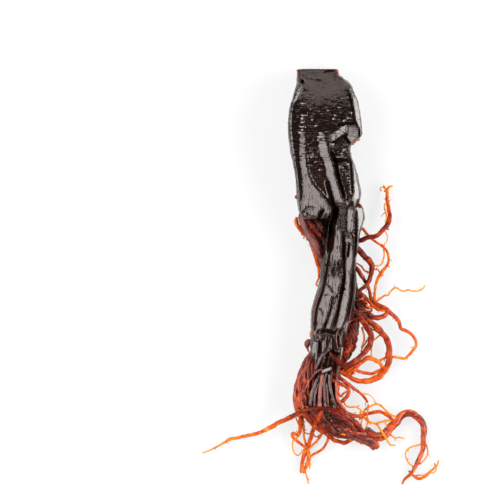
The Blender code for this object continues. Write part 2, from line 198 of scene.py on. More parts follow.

# Ridges rise and grooves sink along lines on the upper side. Each has its reach across, its height,
# which is below 0 in a groove, and its line, in squares.
# grooves are painted with dark shade as far as they sink
FOLDS = [
    # valleys and a small ridge on the crown
    (1.7, -3.0, [(326, 181), (328, 189), (330.4, 198), (332.4, 208)]),
    (0.9, 1.8, [(306.5, 146), (309.4, 151), (312.2, 156)]),
    (1.5, -3.6, [(329.6, 151), (334.4, 161), (336.4, 172), (338.4, 180), (341.2, 190), (344.2, 199)]),
    # dark lines inside the crown's rims
    (1.0, -2.2, [(349, 152), (350.6, 166), (351.6, 180), (352, 194)]),
    (1.3, -2.4, [(348.4, 93), (351.4, 108), (353.2, 121)]),
    # the border of the flap above the notch, and the strokes on its left
    (1.0, -2.6, [(336, 126.6), (342, 125.2), (350, 124), (355, 124.6)]),
    (0.7, -1.8, [(355.6, 125), (357.8, 129), (358.4, 134), (358.2, 139)]),
    (0.8, -2.4, [(344.6, 127.5), (345.2, 131), (345.4, 134)]),
    (1.0, -3.0, [(344.4, 137), (346.4, 141), (350, 145.4)]),
    (1.0, -2.0, [(330, 142.6), (335, 141), (340, 138.6), (345, 136.6)]),
    (0.6, -1.0, [(328.4, 148.6), (333, 147), (338, 147.4)]),
    # cracks and a pit near the cut end
    (0.5, -0.8, [(302.6, 75.4), (304.6, 76.8)]),
    (0.5, -0.9, [(306, 77.6), (308.4, 79)]),
    (0.5, -0.9, [(310, 79.4), (313, 80.4)]),
    (0.5, -0.9, [(315, 80.4), (318, 81), (322, 81.6)]),
    (0.8, -1.6, [(323, 72.4), (328, 71.8), (335, 71.4)]),
    (1.5, -4.0, [(301.2, 81.8), (302.8, 82.6)]),
    (0.5, -0.9, [(303, 83), (306, 83.6)]),
    (0.5, -0.8, [(303, 91.4), (308, 91.6)]),
    (0.5, -0.8, [(346, 91), (350, 91.8)]),
    (1.6, 0.8, [(333, 80.4), (336, 78), (338, 77)]),
    # the fold and ribs across the right-hand side
    (1.4, 2.2, [(330.5, 156.2), (336, 157.8), (341, 157.4)]),
    (1.4, -3.4, [(333, 160.4), (338, 161.4), (343, 160.8), (348, 160)]),
    (2.2, -1.4, [(343, 153), (347, 155)]),
    (1.4, 0.9, [(339, 174.5), (344, 172), (350, 172.6)]),
    (1.1, 0.7, [(342, 180), (347, 178.6)]),
    (1.1, 0.8, [(344, 186.4), (349, 185.2), (352, 187)]),
    (2.2, -5.0, [(362, 203.2), (357, 204.5)]),
    (0.9, 2.8, [(335.2, 204), (334.2, 211), (332.6, 219)]),
    # marks on the rounded end of the crown's left lobe
    (0.6, -1.4, [(301.6, 213.8), (304, 211.2), (306.4, 208.6), (309.6, 207.4), (314, 208)]),
    (0.5, -1.0, [(306.8, 211), (309.4, 209.8), (312.6, 209.6)]),
    (0.6, -1.2, [(307, 213), (308.4, 216.4)]),
    (1.3, -4.2, [(322.4, 210.2), (320.4, 214), (318.4, 219), (316.4, 223)]),
    (0.6, -1.4, [(311, 216.8), (313.4, 217.6)]),
    (0.6, -1.6, [(325.4, 214.4), (324.6, 218), (322.6, 221.6)]),
    # the black hollow where the lobe meets the trunk: sunken grooves, painted black as shade
    (2.4, -9.0, [(334.6, 207), (333.6, 216), (331.4, 224), (330.4, 234)]),
    (2.4, -5.0, [(331, 230), (330, 240), (329, 250)]),
    # the trunk's rim and its long grooves
    (1.3, 2.4, [(329, 228), (327.4, 236), (325.8, 246), (325.4, 256)]),
    (0.9, -2.6, [(329.2, 250), (327.6, 262), (325.8, 272), (324.2, 282), (321.8, 292), (318.8, 300),
                 (316, 310), (314.8, 320), (314.4, 330)]),
    (1.1, -2.4, [(343, 232), (343, 250), (343.3, 262), (343.3, 275), (342.4, 285), (341.2, 292),
                 (339.6, 300), (338.2, 308), (336.6, 316), (334.6, 324), (332.4, 331)]),
    (0.7, -2.0, [(332.5, 296), (330.6, 304), (329.5, 311), (327.6, 317), (325.6, 323), (323, 330)]),
    (1.2, 2.0, [(346.6, 243), (346.2, 250), (345.2, 258)]),
    (0.9, -2.2, [(348.2, 243), (347.8, 250), (346.8, 257)]),
    (1.0, -2.6, [(355.4, 211), (355.8, 235), (355, 255), (354, 268), (352.8, 280), (351.6, 292),
                 (350.4, 303), (348.6, 312), (346.8, 322)]),
    (1.3, -1.3, [(355, 280), (354, 292), (353, 304), (351.4, 314), (349.8, 324)]),
    (0.5, -1.3, [(328.6, 285), (330.4, 288.4), (333, 292.4)]),
    (0.9, -1.8, [(338.6, 288), (341, 287.6), (344, 289.4)]),
    (0.5, -1.1, [(324.4, 295.6), (326.6, 294)]),
    (0.6, -1.3, [(319, 308.4), (321, 309.6)]),
    (0.5, -1.0, [(328, 313.6), (330.4, 313)]),
    # the narrow waist, a brown lump on its left and the gaps between the lumps below it
    (2.6, 1.8, [(314, 337.6), (319.4, 336.8)]),
    (1.3, -3.2, [(320, 332), (326, 330.6), (333, 332.5), (341, 330)]),
    (1.2, -3.4, [(319.4, 341), (319.4, 354)]),
    (0.8, -3.0, [(327, 336), (326.2, 343), (325.8, 351)]),
    (1.0, -3.0, [(332.6, 338), (332.6, 352)]),
    (1.8, -3.6, [(336.4, 335), (336.6, 350)]),
    (1.6, -3.6, [(343.6, 334), (343, 346)]),
    (2.0, -4.2, [(324, 354), (330, 352.4), (338, 355)]),
    # lengthwise furrows down to the tail
    (1.6, -3.0, [(313, 358), (310.6, 378), (310, 400)]),
    (1.8, -3.4, [(320, 357), (316.2, 380), (315.4, 402)]),
    (1.8, -3.4, [(327, 356), (322.4, 380), (321.8, 402)]),
    (1.8, -3.4, [(331.5, 358), (327.2, 380), (327, 402)]),
    (1.8, -3.4, [(336, 358), (333.4, 380), (331.6, 402)]),
]

# Planes across the skin. Each has how far it takes to drop beyond its right edge, how far its left
# foot is sunk and how wet it is, then for each step down the sheet the right edge, the width and the
# slope, which is below 0 where the plane falls to the right.
# the skin beyond each plane's drop and along its left foot is painted with dark shade
PLANES = [
    # the crown's right and left rims
    (0.8, 0, 0.7, [
        (80, 344.6, 3, -0.45), (86, 350.8, 4, -0.46), (94, 354.2, 4.6, -0.47),
        (100, 357, 5.2, -0.56), (112, 359.4, 5.8, -0.58), (120, 360.4, 5.6, -0.58),
        (127, 361.2, 3.8, -0.58), (134, 361.4, 3, -0.56), (140, 360, 2.2, -0.54)]),
    (0.8, 0, 1.0, [
        (150, 349.6, 2, -0.5), (158, 351.5, 3, -0.5), (165, 354.5, 3.6, -0.52),
        (175, 357, 4.8, -0.52), (185, 359.3, 6.4, -0.52), (195, 360.9, 7.4, -0.52),
        (202, 358.6, 5.4, -0.5)]),
    (0.3, 0, 0.8, [
        (82, 301, 2.4, 0.3), (86, 302.2, 4.6, 0.32), (94, 300.6, 5, 0.32), (100, 297.4, 3.8, 0.32),
        (104, 295.2, 3, 0.3)]),
    (2.2, 0, 0.4, [
        (100, 296.4, 3.4, 0.3), (106, 293.8, 2.7, 0.27), (115, 292.1, 2.5, 0.26),
        (130, 291.9, 2.7, 0.26), (145, 293.1, 2.8, 0.26), (160, 295.3, 2.3, 0.26),
        (175, 297.9, 2, 0.26), (190, 299.1, 2, 0.26), (202, 299.8, 1.8, 0.26)]),
    # the bands on the crown
    (1.6, 0, 0, [
        (132, 304.6, 6, 0.34), (146, 305.6, 7, 0.34), (163, 305.8, 6.4, 0.36),
        (176, 308.2, 7, 0.36), (182, 311, 9.6, 0.36), (188, 315.4, 13.2, 0.36),
        (198, 323.4, 21.6, 0.36), (207, 329.7, 27.7, 0.35), (213, 331, 27, 0.35),
        (223, 328.6, 23, 0.32)]),
    (1.3, 0, 0.2, [
        (131, 323, 5, 0.36), (137, 324.6, 7, 0.36), (143, 326, 8.6, 0.36), (150, 328.6, 11, 0.36),
        (156, 329, 9, 0.36), (163, 332.2, 8.4, 0.36), (176, 334.4, 8.2, 0.38),
        (188, 338.2, 7.4, 0.38), (198, 341.2, 7.6, 0.38), (206, 346, 10, 0.34)]),
    (0.9, 0.3, 0.6, [
        (141, 333, 4, 0.34), (145, 334.6, 6, 0.36), (149.6, 334.6, 6, 0.34)]),
    # the trunk's right flank and its bands
    (0.8, 0, 0.8, [
        (204, 360, 4, -0.5), (210, 363, 7.4, -0.5), (218, 364.3, 8.4, -0.5), (226, 361.8, 7, -0.5),
        (236, 359.4, 4, -0.5), (262, 355.4, 3, -0.5)]),
    (1.0, 0, 0, [
        (228, 341, 3, 0.34), (235, 341, 7, 0.36), (240, 341, 8.6, 0.36), (250, 340.2, 9.2, 0.36),
        (258, 341.2, 11, 0.36), (270, 342.6, 14, 0.34), (280, 341.2, 15.2, 0.34),
        (287, 339.6, 14.6, 0.36), (293, 337.4, 13.8, 0.36), (300, 333, 13, 0.36),
        (310, 329, 11, 0.36), (320, 326, 10, 0.36), (331, 320.4, 5.6, 0.34)]),
    (0.9, 0, 0, [
        (290, 339.6, 3.4, 0.36), (303, 337.2, 5, 0.38), (310, 336, 5.6, 0.38),
        (316, 334, 5.6, 0.38), (323, 331.4, 5.4, 0.38), (332, 329, 5, 0.36)]),
    (1.0, 0, 0.3, [
        (207, 352.6, 4.4, 0.36), (212, 353.4, 6.4, 0.36), (228, 353.8, 7, 0.36),
        (240, 352, 7, 0.36), (255, 352.6, 5.6, 0.38), (262, 352.2, 6.4, 0.38),
        (270, 350.8, 5.6, 0.38), (280, 350.2, 5.6, 0.38), (290, 349.2, 5.2, 0.38),
        (300, 348.2, 6.2, 0.38), (308, 346.6, 6, 0.38), (315, 345.2, 6, 0.38),
        (322, 343.6, 6, 0.38), (331, 340, 4, 0.36)]),
    # the lumps below the waist
    (0.9, 0, 0.3, [
        (339.6, 317, 4.4, 0.34), (344, 318, 6.2, 0.36), (349, 317.6, 6, 0.36),
        (354, 316, 4.4, 0.34)]),
    (0.9, 0, 0.3, [
        (337, 326.6, 3.4, 0.36), (343, 327, 5, 0.36), (350, 325.2, 5.2, 0.36),
        (356, 322.4, 4, 0.34)]),
    (0.9, 0, 0.3, [
        (340, 332, 3.6, 0.36), (346, 332.8, 4.8, 0.36), (352, 330, 4, 0.36)]),
    (0.9, 0, 0.3, [
        (334, 343.6, 4, 0.36), (340, 342.6, 4.6, 0.36), (347, 341, 3.4, 0.36)]),
]

# Slanting straps: left end, right end, half their height, how far they stand out, where below 0 is
# sunk, and how strong the dark strokes across them are
# the dark strokes are drawn with the same dark, matte shader as the painted crease shade
STRAPS = [
    ((330, 139), (346, 129), 4.4, -3.4, 1.0),
    ((320.6, 371.6), (331.6, 367.6), 2.6, 3.0, 0.0),
]

TILT = 0.36  # slope of a facet that mirrors the left softbox
# a groove that sinks this far is painted fully with dark, matte shade
SHADED_DEPTH = 1.5  # a groove this deep is dull

# The flap above the notch: its left and right side, its upper and lower end, and where its slope
# starts. Its left side drifts to the right further down.
FLAP_SIDES = (345.6, 358.2)
FLAP_ENDS = (125.5, 145.0)
FLAP_FOOT = 347.0
FLAP_DRIFT = 0.1

# Small facets on the crown that catch the light: left end, right end, how far down, half their height
GLINTS = [
    (299.6, 306, 104.2, 0.5), (300, 307.4, 116, 0.3), (299.6, 304, 119.4, 0.8),
    (300, 304.8, 123.4, 0.6), (298.6, 305.4, 127.6, 0.5), (299, 304, 130.9, 0.5),
    (297.6, 305, 133.2, 0.4), (308.6, 312, 110, 0.5), (309, 313, 117, 0.8), (309.6, 313.6, 120.6, 0.4),
    (318, 322.6, 133.4, 0.5), (316.6, 325, 137.4, 0.4), (316.6, 324.6, 140.4, 0.5),
    (311.4, 313.8, 139.6, 0.5), (319.6, 323, 115.6, 0.6), (333, 336.4, 116, 0.4),
    (331, 335, 119.6, 0.4), (348.6, 352.6, 113.4, 0.4), (346, 350, 118.6, 0.4), (336, 341, 108.6, 0.3),
    (312, 316, 98.6, 0.3), (340, 344, 99.6, 0.3), (313, 317.6, 126.4, 0.4), (325.6, 329, 124.4, 0.4),
    (306.6, 309, 113.4, 0.4), (342, 346, 121.6, 0.4), (326, 330.6, 111.4, 0.3),
    (334.4, 337, 125.4, 0.3), (313, 317, 163, 0.4), (316, 319.4, 173.6, 0.3), (313.6, 316, 178, 0.3),
    (318, 321, 170.6, 0.3), (333, 340, 157.2, 0.5), (341, 346, 163, 0.4), (338.6, 343, 167.6, 0.4),
    (343, 348, 174, 0.5), (345, 350, 182, 0.4), (346, 350, 187.6, 0.5), (347, 351, 192, 0.4),
    (309.6, 312.6, 157.6, 0.3), (317.4, 320, 189, 0.3), (321, 324, 191.6, 0.3), (318, 321, 164.6, 0.3),
    (316, 318.4, 112.6, 0.4), (322, 324.4, 121, 0.3), (330, 333, 104.6, 0.3), (339, 342, 113.6, 0.3),
    (306, 308.4, 96.4, 0.3),
]

# Soft spots, each with its centre, its reach and its strength: where the ripples fade, and where the
# skin is mottled
SMOOTH_SPOTS = (((314, 200), (11, 15), 0.8), ((322, 178), (7, 9), 0.6))
# mottled skin also gets spots of painted shade
MOTTLED_SPOTS = (((336, 269), (9, 9), 1.0), ((340, 218), (6, 12), 0.8), ((348, 235), (5, 5), 1.0))

SHOULDER = 104.0  # the crown's top rises down to here
SHEEN_END = 104.0  # the smooth sheen by the cut end reaches down to here, in the middle
RIPPLES_END = 200.0
CROSSWISE_END = 208.0  # fine wrinkles run across above this and lengthwise below it
WAIST = 325.0  # long wrinkles are strong from here to the tail

# Patches of browner and redder skin: reach, strength, line
WARM_PATCHES = [
    (6.5, 0.3, [(317, 168), (319, 187)]),
    (4.0, 0.3, [(343, 152), (346, 158)]),
    (3.0, 0.3, [(340, 170), (346, 186)]),
    (4.0, 0.2, [(322, 100), (318, 140)]),
    (2.0, 1.3, [(357, 203), (361, 207)]),
    (1.6, 1.3, [(350, 143), (358, 140)]),
    (1.4, 1.3, [(296, 70), (297, 80)]),
    (1.4, 1.3, [(337, 70), (340, 78)]),
    (4.0, 1.0, [(305, 217), (301, 224)]),
    (5.0, 1.3, [(354, 318), (346, 350), (340, 380)]),
    (9.0, 1.5, [(310, 372), (308, 405), (318, 425), (338, 432)]),
    (2.0, 0.9, [(319, 285), (312, 318), (309, 352)]),
]

# Side roots and rootlets. Each has its warmth (0 is black, 1 red, 2 orange, 3 yellow) and its
# half-widths, both spread evenly along the route, and the route's points, in squares.
THICK_ROOTS = {
    # hollow_floor and hollow_floor_left are near-black fillers that stand in for the shade in the hollow
    # under the crown's lobe
    "hollow_floor": ((0.1, 0.2), (5.0, 6.6, 6.4, 5.2, 3.8, 2.4), [
        (320, 210, 18), (321, 219, 18), (322, 229, 18), (323, 240, 18.6), (323.6, 250, 19),
        (324, 260, 20)]),
    "hollow_floor_left": ((0.1, 0.2), (3.6, 4.0, 3.8, 3.4, 2.6), [
        (309, 214, 17), (311.5, 222, 17), (314.6, 231, 17), (317.6, 240, 17.6), (320.4, 252, 18)]),
    "side_root": ((0.85, 0.6, 0.5), (2.6, 4.0, 4.4, 4.3, 3.8, 2.8, 1.8), [
        (302, 212, 24), (301.5, 217, 25), (303.5, 224, 26), (307, 231, 26.5), (311.5, 238, 27),
        (315.5, 245, 28), (318.8, 252, 28), (321.5, 260, 27), (322.5, 268, 26)]),
    "left_nub": ((0.7, 1.0), (2.0, 2.9, 3.1, 2.6, 1.4), [
        (313, 341, 17), (309.4, 341.6, 17), (307, 343.4, 16.4), (306.8, 346, 15.4), (307.4, 348, 14.6)]),
}
SMOOTH_ROOTS = ("side_root", "hollow_floor", "hollow_floor_left")  # these have few wrinkles
# Thick roots that are wound from strands. Each has how many strands, how fast these turn and how
# loosely they lie, and then its warmth, half-widths and route.
TWISTED_ROOTS = {
    "left_band": (13, 0.006, 0.25, (0.6, 0.8, 1.1, 1.1), (3.6, 5.0, 6.6, 7.9, 8.8, 9.4, 9.4, 8.6, 6.0), [
        (315.6, 348, 22), (312.4, 356, 23.5), (309, 363, 24), (306.5, 372, 23.2), (304.2, 381, 22),
        (302.6, 390, 20.6), (302, 399, 19), (302.2, 408, 17.2), (303.4, 417, 15.5)]),
    "tail_stub": (9, 0.03, 0.4, (0.6, 0.7, 0.9, 1.3), (7.6, 8.0, 7.8, 7.4, 6.8, 6.4, 5.6, 4.8), [
        (332, 419, 16), (339, 424.5, 16), (346, 428.4, 15.4), (353.5, 432, 14.8),
        (361, 435.6, 13.8), (368, 439.6, 12.2), (373.5, 444, 10.4), (376.6, 448.6, 9)]),
    "long_tail": (3, 0.085, 0.2, (0.9, 1.0, 1.3, 1.3, 1.1, 1.3, 1.6, 2.0), (
        5.0, 4.8, 4.6, 4.3, 4.1, 3.9, 3.7, 3.4, 3.2, 2.9, 2.7, 2.5, 2.2, 1.7, 1.2), [
        (366, 431, 13), (372, 434.4, 13), (378, 436.5, 12.5), (384, 435.5, 11), (388.5, 431, 10),
        (392.5, 426, 9.5), (397, 421.5, 9), (401, 416.5, 8.5), (406, 413.8, 8), (411.5, 413.8, 7.5),
        (416.5, 416.5, 7), (421, 420.8, 6.5), (423.8, 426.5, 6), (424.2, 433, 5.5),
        (423.8, 440, 5.2), (423.3, 447, 5), (421.8, 453, 5), (419.5, 459, 4.8), (416.5, 465, 4.5),
        (413.5, 470.5, 4.3), (410.5, 475, 4), (406, 478.5, 3.8), (403.8, 481.5, 3.4),
        (402.5, 484.8, 3.0)]),
}
# The thick red root in the tangle, in the same form
RED_MASS = (17, 0.05, 0.9, (0.4, 0.7, 0.8, 0.7), (3.4, 5.4, 6.8, 7.5, 7.3, 6.4, 4.4), [
    (357, 317, 23), (354.5, 325, 23.4), (352, 333, 24), (350, 341, 24), (347.6, 349, 23.4),
    (343.5, 357, 22), (338, 365, 20)])
# Rootlets on the right-hand side, from the highest down
RIGHT_ROOTLETS = {
    "upper_arm": ((0.6, 0.8, 1.1, 1.5, 1.9), (3.4, 2.9, 2.4, 2.3, 2.2, 2.3, 2.7, 2.1, 1.8, 1.6, 1.7), [
        (346, 243, 20), (354, 242, 20), (361, 240.5, 21), (368, 237.5, 22), (375, 236, 22),
        (381, 232.5, 21), (385.5, 227.5, 19), (388.5, 221, 16), (389.5, 214.5, 13),
        (388.5, 208, 11), (387.3, 201, 9), (387.2, 194, 8), (386.8, 188.5, 7.6)]),
    "upper_fray_right": ((2.0, 2.5), (1.4, 1.2, 0.8), [
        (386.8, 190.5, 7.6), (389.5, 187, 7.6), (393, 185.8, 7.4)]),
    "upper_fray_left": ((2.0, 2.5), (1.4, 1.1, 0.7), [
        (387, 190.5, 7.6), (384.7, 187, 7.6), (383.6, 185, 7.4)]),
    "upper_curl": ((2.2, 2.7), (0.8, 0.6, 0.5), [
        (386, 189, 7.6), (382.8, 187, 7.4), (380.7, 188, 7.2), (380.6, 190.5, 7), (381.8, 191.4, 6.8)]),
    "upper_stub": ((2.0, 2.4), (1.0, 0.8), [(386.5, 190, 7), (384, 191.6, 6.6)]),
    "upper_strand": ((2.5, 2.6), (0.8, 0.8, 0.8), [
        (387.5, 200.5, 9), (385.2, 204, 10.5), (384.5, 208.5, 12), (386, 213, 14), (386.4, 218, 16),
        (385.6, 223, 18), (386, 229, 19)]),
    "upper_twig": ((2.6, 2.9), (0.6, 0.4), [(385.5, 212, 14), (383, 214.3, 13), (381, 216.7, 12)]),
    "upper_twig_right": ((2.4, 2.8), (0.7, 0.4), [
        (388.2, 206, 10), (389.6, 202, 10.5), (390.6, 199, 11)]),
    "upper_knuckle": ((1.6, 2.0), (1.4, 0.8), [(385.6, 227, 19), (388.8, 230, 17)]),
    "yellow_loop": ((2.7, 2.7), (0.7, 0.6, 0.6), [
        (383.6, 230, 20), (386.4, 233.6, 18.6), (387.4, 238, 16.6), (386, 242.4, 14.8),
        (382.8, 246, 14)]),
    "crossing_wire": ((1.5, 2.2), (1.6, 1.4, 1.3, 1.2, 1.2, 1.2, 1.3, 1.3, 2.0, 1.4, 1.3, 1.7, 1.5), [
        (352, 223, 20), (357, 225.6, 20), (362.5, 229, 18.6), (366, 232.5, 17.6), (369, 236, 16.6),
        (372.5, 239.5, 15.8), (376.5, 242.2, 15), (380.5, 244.6, 14.4), (383.4, 247, 14),
        (386, 249.8, 12.5), (388.2, 254, 11), (388.8, 259, 10), (387.8, 264, 9.5),
        (385.5, 267.8, 9.5), (382.5, 271, 10), (380, 275.5, 10.5), (377.5, 279.5, 11),
        (376, 284.5, 12), (375, 290, 13), (374.5, 296, 14), (374.5, 302, 15), (376, 307, 17)]),
    "crossing_left": ((2.3, 2.4), (0.9, 0.8, 0.9), [
        (383, 246.5, 14), (384, 251, 12.5), (384.2, 256, 11.5), (382.8, 261, 11.5),
        (380.8, 264.8, 12.5), (377, 265.8, 14), (371.5, 265.2, 16.4)]),
    "wire_nub": ((2.2, 2.4), (0.9, 0.6), [(387, 265.6, 9.5), (390, 267.4, 9.2)]),
    "wire_nub_low": ((2.0, 2.3), (0.9, 0.6), [(380.6, 273, 10.2), (383.6, 276, 9.8)]),
    "small_bridge": ((1.8, 2.0), (0.9, 0.9), [
        (371, 268.3, 15.6), (375, 269.2, 13.6), (378, 269.5, 12.2), (380, 273, 10.8)]),
    "dark_elbow": ((0.5, 0.8, 1.0, 0.9, 0.8), (3.2, 3.2, 3.0, 3.0, 2.8, 2.3, 2.2, 2.0, 1.8, 1.6), [
        (349, 243, 20), (356, 248, 20), (360.5, 252.5, 20), (365, 257, 19), (369.5, 261.5, 18),
        (372, 266, 17), (371.8, 271, 17), (370.5, 276, 17), (368.8, 281, 18), (366, 285, 19.5),
        (362, 288, 21), (356, 293, 22.5), (350, 299, 23)]),
    "crossing_root": ((0.8, 1.1, 1.2, 1.5, 1.8), (2.4, 2.3, 2.2, 1.9, 1.6, 1.6, 1.6, 1.5, 1.5), [
        (348, 259, 19), (353.5, 265, 18.6), (357.4, 269.6, 17.8), (360.5, 274, 17),
        (363.5, 279, 16), (366.5, 284, 15), (368.8, 289, 15), (370, 294.5, 15.5),
        (371, 300, 16.5), (373.5, 305.5, 18), (377.5, 309.5, 18.5), (383, 310.4, 17.5),
        (387.8, 310, 16)]),
    "thin_tie": ((1.8, 1.9), (0.9, 0.9), [
        (351, 261.5, 17.4), (357, 263.6, 16.4), (361.5, 266.5, 15.5), (364.5, 270.5, 15.5),
        (370, 272.8, 16.4)]),
    "far_loop": ((1.2, 1.6, 2.0, 2.3), (2.5, 2.4, 2.2, 1.9, 1.7, 1.5, 1.5, 1.4, 1.3, 1.3, 1.2), [
        (372, 302, 17), (375, 303.5, 17), (380, 306, 17.5), (385, 308.3, 17), (389, 311.5, 15.5),
        (393, 315.3, 13.5), (397, 319, 11.5), (399.8, 324, 10), (401.3, 328.8, 8.5),
        (405.5, 330.8, 7.5), (410, 333.6, 7), (414, 337.3, 6.5), (416, 342, 6), (416.2, 346.3, 6),
        (413.8, 349.8, 6), (410.5, 354, 6.5), (405.5, 358.6, 7), (399.5, 358.2, 7.5),
        (393.5, 357, 8), (387, 357.5, 8.5), (381.5, 360, 9.5), (377, 362.5, 10.5)]),
    "fold_back": ((0.7, 1.0, 1.6), (2.2, 2.5, 2.6, 2.5, 2.0), [
        (358, 308, 26), (364, 311, 24), (368.5, 314.5, 22), (373, 317.3, 20.5),
        (378.5, 317.8, 19), (383.5, 316.3, 17.5), (386.8, 313, 16.5), (386.6, 308.8, 16)]),
    "kinked_wire": ((2.0, 2.9), (1.1, 0.9, 0.9, 0.8, 0.7), [
        (374.5, 303, 15.5), (377, 301, 14.8), (380, 299, 14), (384.5, 295.8, 12.5),
        (388.5, 295, 11.5), (390, 292.3, 10.5), (393, 289.5, 9.5), (396.5, 287.8, 8.5),
        (400.5, 290, 7.5), (404, 291.2, 7), (408.5, 289.9, 6.5), (412, 291, 6), (418.5, 291, 5),
        (423, 289, 4.5), (425.4, 285.2, 4)]),
    "big_arc": ((0.9, 1.1, 1.2, 1.3, 1.5, 1.8, 1.6, 0.9), (
        2.2, 2.7, 2.8, 2.9, 2.9, 3.0, 3.2, 3.2, 2.8, 2.4, 2.0, 1.8), [
        (352, 309, 28), (360, 313.6, 26.5), (366, 318.3, 24), (371, 322, 22), (376, 326, 20),
        (381, 331.3, 17.5), (385.3, 337, 15), (388, 342.5, 13), (389.3, 349, 11.5),
        (389.3, 356, 11), (388.3, 363, 11.5), (385.5, 369.5, 12.5), (381, 375, 14),
        (375, 379, 16), (368, 380.8, 18.5), (360.5, 380.8, 21), (353.5, 378.8, 23.6),
        (347.5, 375.7, 25.4), (342, 372.5, 26), (334, 368, 24.5)]),
    "arc_companion": ((1.5, 1.9), (1.1, 1.1), [
        (360, 313.4, 24.4), (367, 320.5, 20.5), (371, 325, 18.5), (376, 329.3, 16),
        (380.5, 333.8, 14.5)]),
    "inner_loop": ((0.6, 0.9, 1.0, 1.0, 0.6, 0.3), (2.2, 2.8, 3.0, 3.0, 2.8, 2.6, 2.4, 2.1, 1.8), [
        (350, 308, 28), (357, 313.4, 28), (362, 319.5, 26.5), (366, 325.5, 25),
        (369.5, 331.5, 23.5), (371, 338, 22.5), (369.5, 344.5, 22.5), (365.5, 350.5, 24),
        (360.5, 356, 26.5), (354.5, 360.8, 29), (348, 364, 31), (341.5, 363.8, 32.6),
        (336.5, 360, 33.4), (331.5, 355, 33.6), (326, 348.5, 30)]),
    "hole_thread_a": ((1.9, 2.1), (0.9, 0.9), [
        (361, 319, 23), (366.5, 326.5, 20), (371, 328.6, 18.5), (376, 331, 17),
        (381.5, 335.2, 15)]),
    "hole_thread_b": ((2.3, 2.6), (0.8, 0.7), [
        (381, 334, 14.5), (376.5, 338, 13.5), (373.2, 341.5, 13), (372, 347, 13),
        (371.5, 352, 13), (371, 359, 14)]),
    "hole_thread_c": ((1.8, 2.2), (1.0, 0.9), [
        (361.5, 327, 22.6), (364, 336, 21), (363.5, 341.5, 21), (361, 348, 22)]),
    "hole_thread_d": ((2.0, 2.4), (0.8, 0.7), [
        (369, 336, 19), (365.8, 342.5, 18), (363, 346.5, 19), (360.5, 352, 21)]),
    "orange_strap": ((1.6, 2.1), (1.8, 2.1, 2.3, 2.3, 2.1, 1.8, 1.6), [
        (346, 374, 21), (354, 369, 20), (358, 365, 18), (362.5, 361, 16.5), (367, 357.8, 15.5),
        (371.5, 358.3, 14.5), (376, 360.8, 13.5), (380.5, 364, 13), (381.8, 368.5, 12.6),
        (380, 376, 14)]),
    "strap_low": ((1.5, 1.8), (1.7, 1.6), [
        (344, 368, 22), (352, 369.5, 21), (357, 370.5, 19), (362.5, 372.3, 17),
        (368, 373.3, 15.5), (373.5, 373.3, 14.5), (381, 369.6, 13)]),
    "under_loop": ((1.2, 1.4), (1.7, 1.6), [
        (341, 373, 24), (346, 371, 24.6), (350.5, 367.8, 24), (356, 364.5, 22), (361, 360, 20)]),
    "ring_bit": ((1.4, 1.9), (1.1, 1.0), [
        (344.5, 368, 24), (347, 373.3, 22), (350.5, 374.6, 20.5), (354.5, 372.3, 20)]),
    "short_arm": ((0.9, 1.2, 1.4, 1.5), (2.2, 2.0, 1.8, 1.6, 1.4, 1.2), [
        (330, 371, 25), (338, 376, 25), (343.5, 380.3, 23), (349, 384.5, 20), (353.5, 388.5, 17),
        (358, 391.3, 14.5), (362, 394.3, 12.5), (365, 398.3, 10.5), (368, 402.8, 9)]),
    "arm_thread": ((2.3, 2.8), (0.7, 0.5, 0.5), [
        (361, 393, 13), (366.5, 394.1, 11), (370, 395.2, 10), (373.5, 398.7, 8.5),
        (376.4, 404.6, 9.6)]),
    "eye_ring": ((1.2, 1.5), (1.9, 1.8, 1.8), [
        (330, 379, 25), (334, 381, 25), (339.5, 383.5, 24.4), (344.5, 385.3, 22.6),
        (348, 389, 21.2), (348.2, 393.5, 20.5), (345.5, 398, 20.5), (341, 401.5, 22),
        (334, 404, 23)]),
    "eye_inner": ((1.6, 1.9), (1.1, 1.1), [
        (348.6, 390.6, 21), (343.5, 393.3, 21.6), (341, 396.3, 22.4), (338.5, 393, 24),
        (337.8, 388.5, 25), (338, 382, 24.6)]),
    "yellow_wave": ((2.3, 2.7), (1.0, 0.9), [
        (343, 399.5, 20.4), (345.3, 404.5, 18), (348.5, 406.7, 16.5), (354.5, 406.8, 15),
        (358.5, 408.3, 14), (361.5, 411, 13.5), (363.5, 416, 13)]),
    "low_band": ((1.1, 1.5), (1.9, 1.8, 1.7), [
        (328, 399, 24.6), (334, 403, 24.6), (339, 407, 23.6), (344.5, 411, 21.5),
        (350, 414, 19), (356, 415.8, 16.5), (363, 415.8, 14.5)]),
}
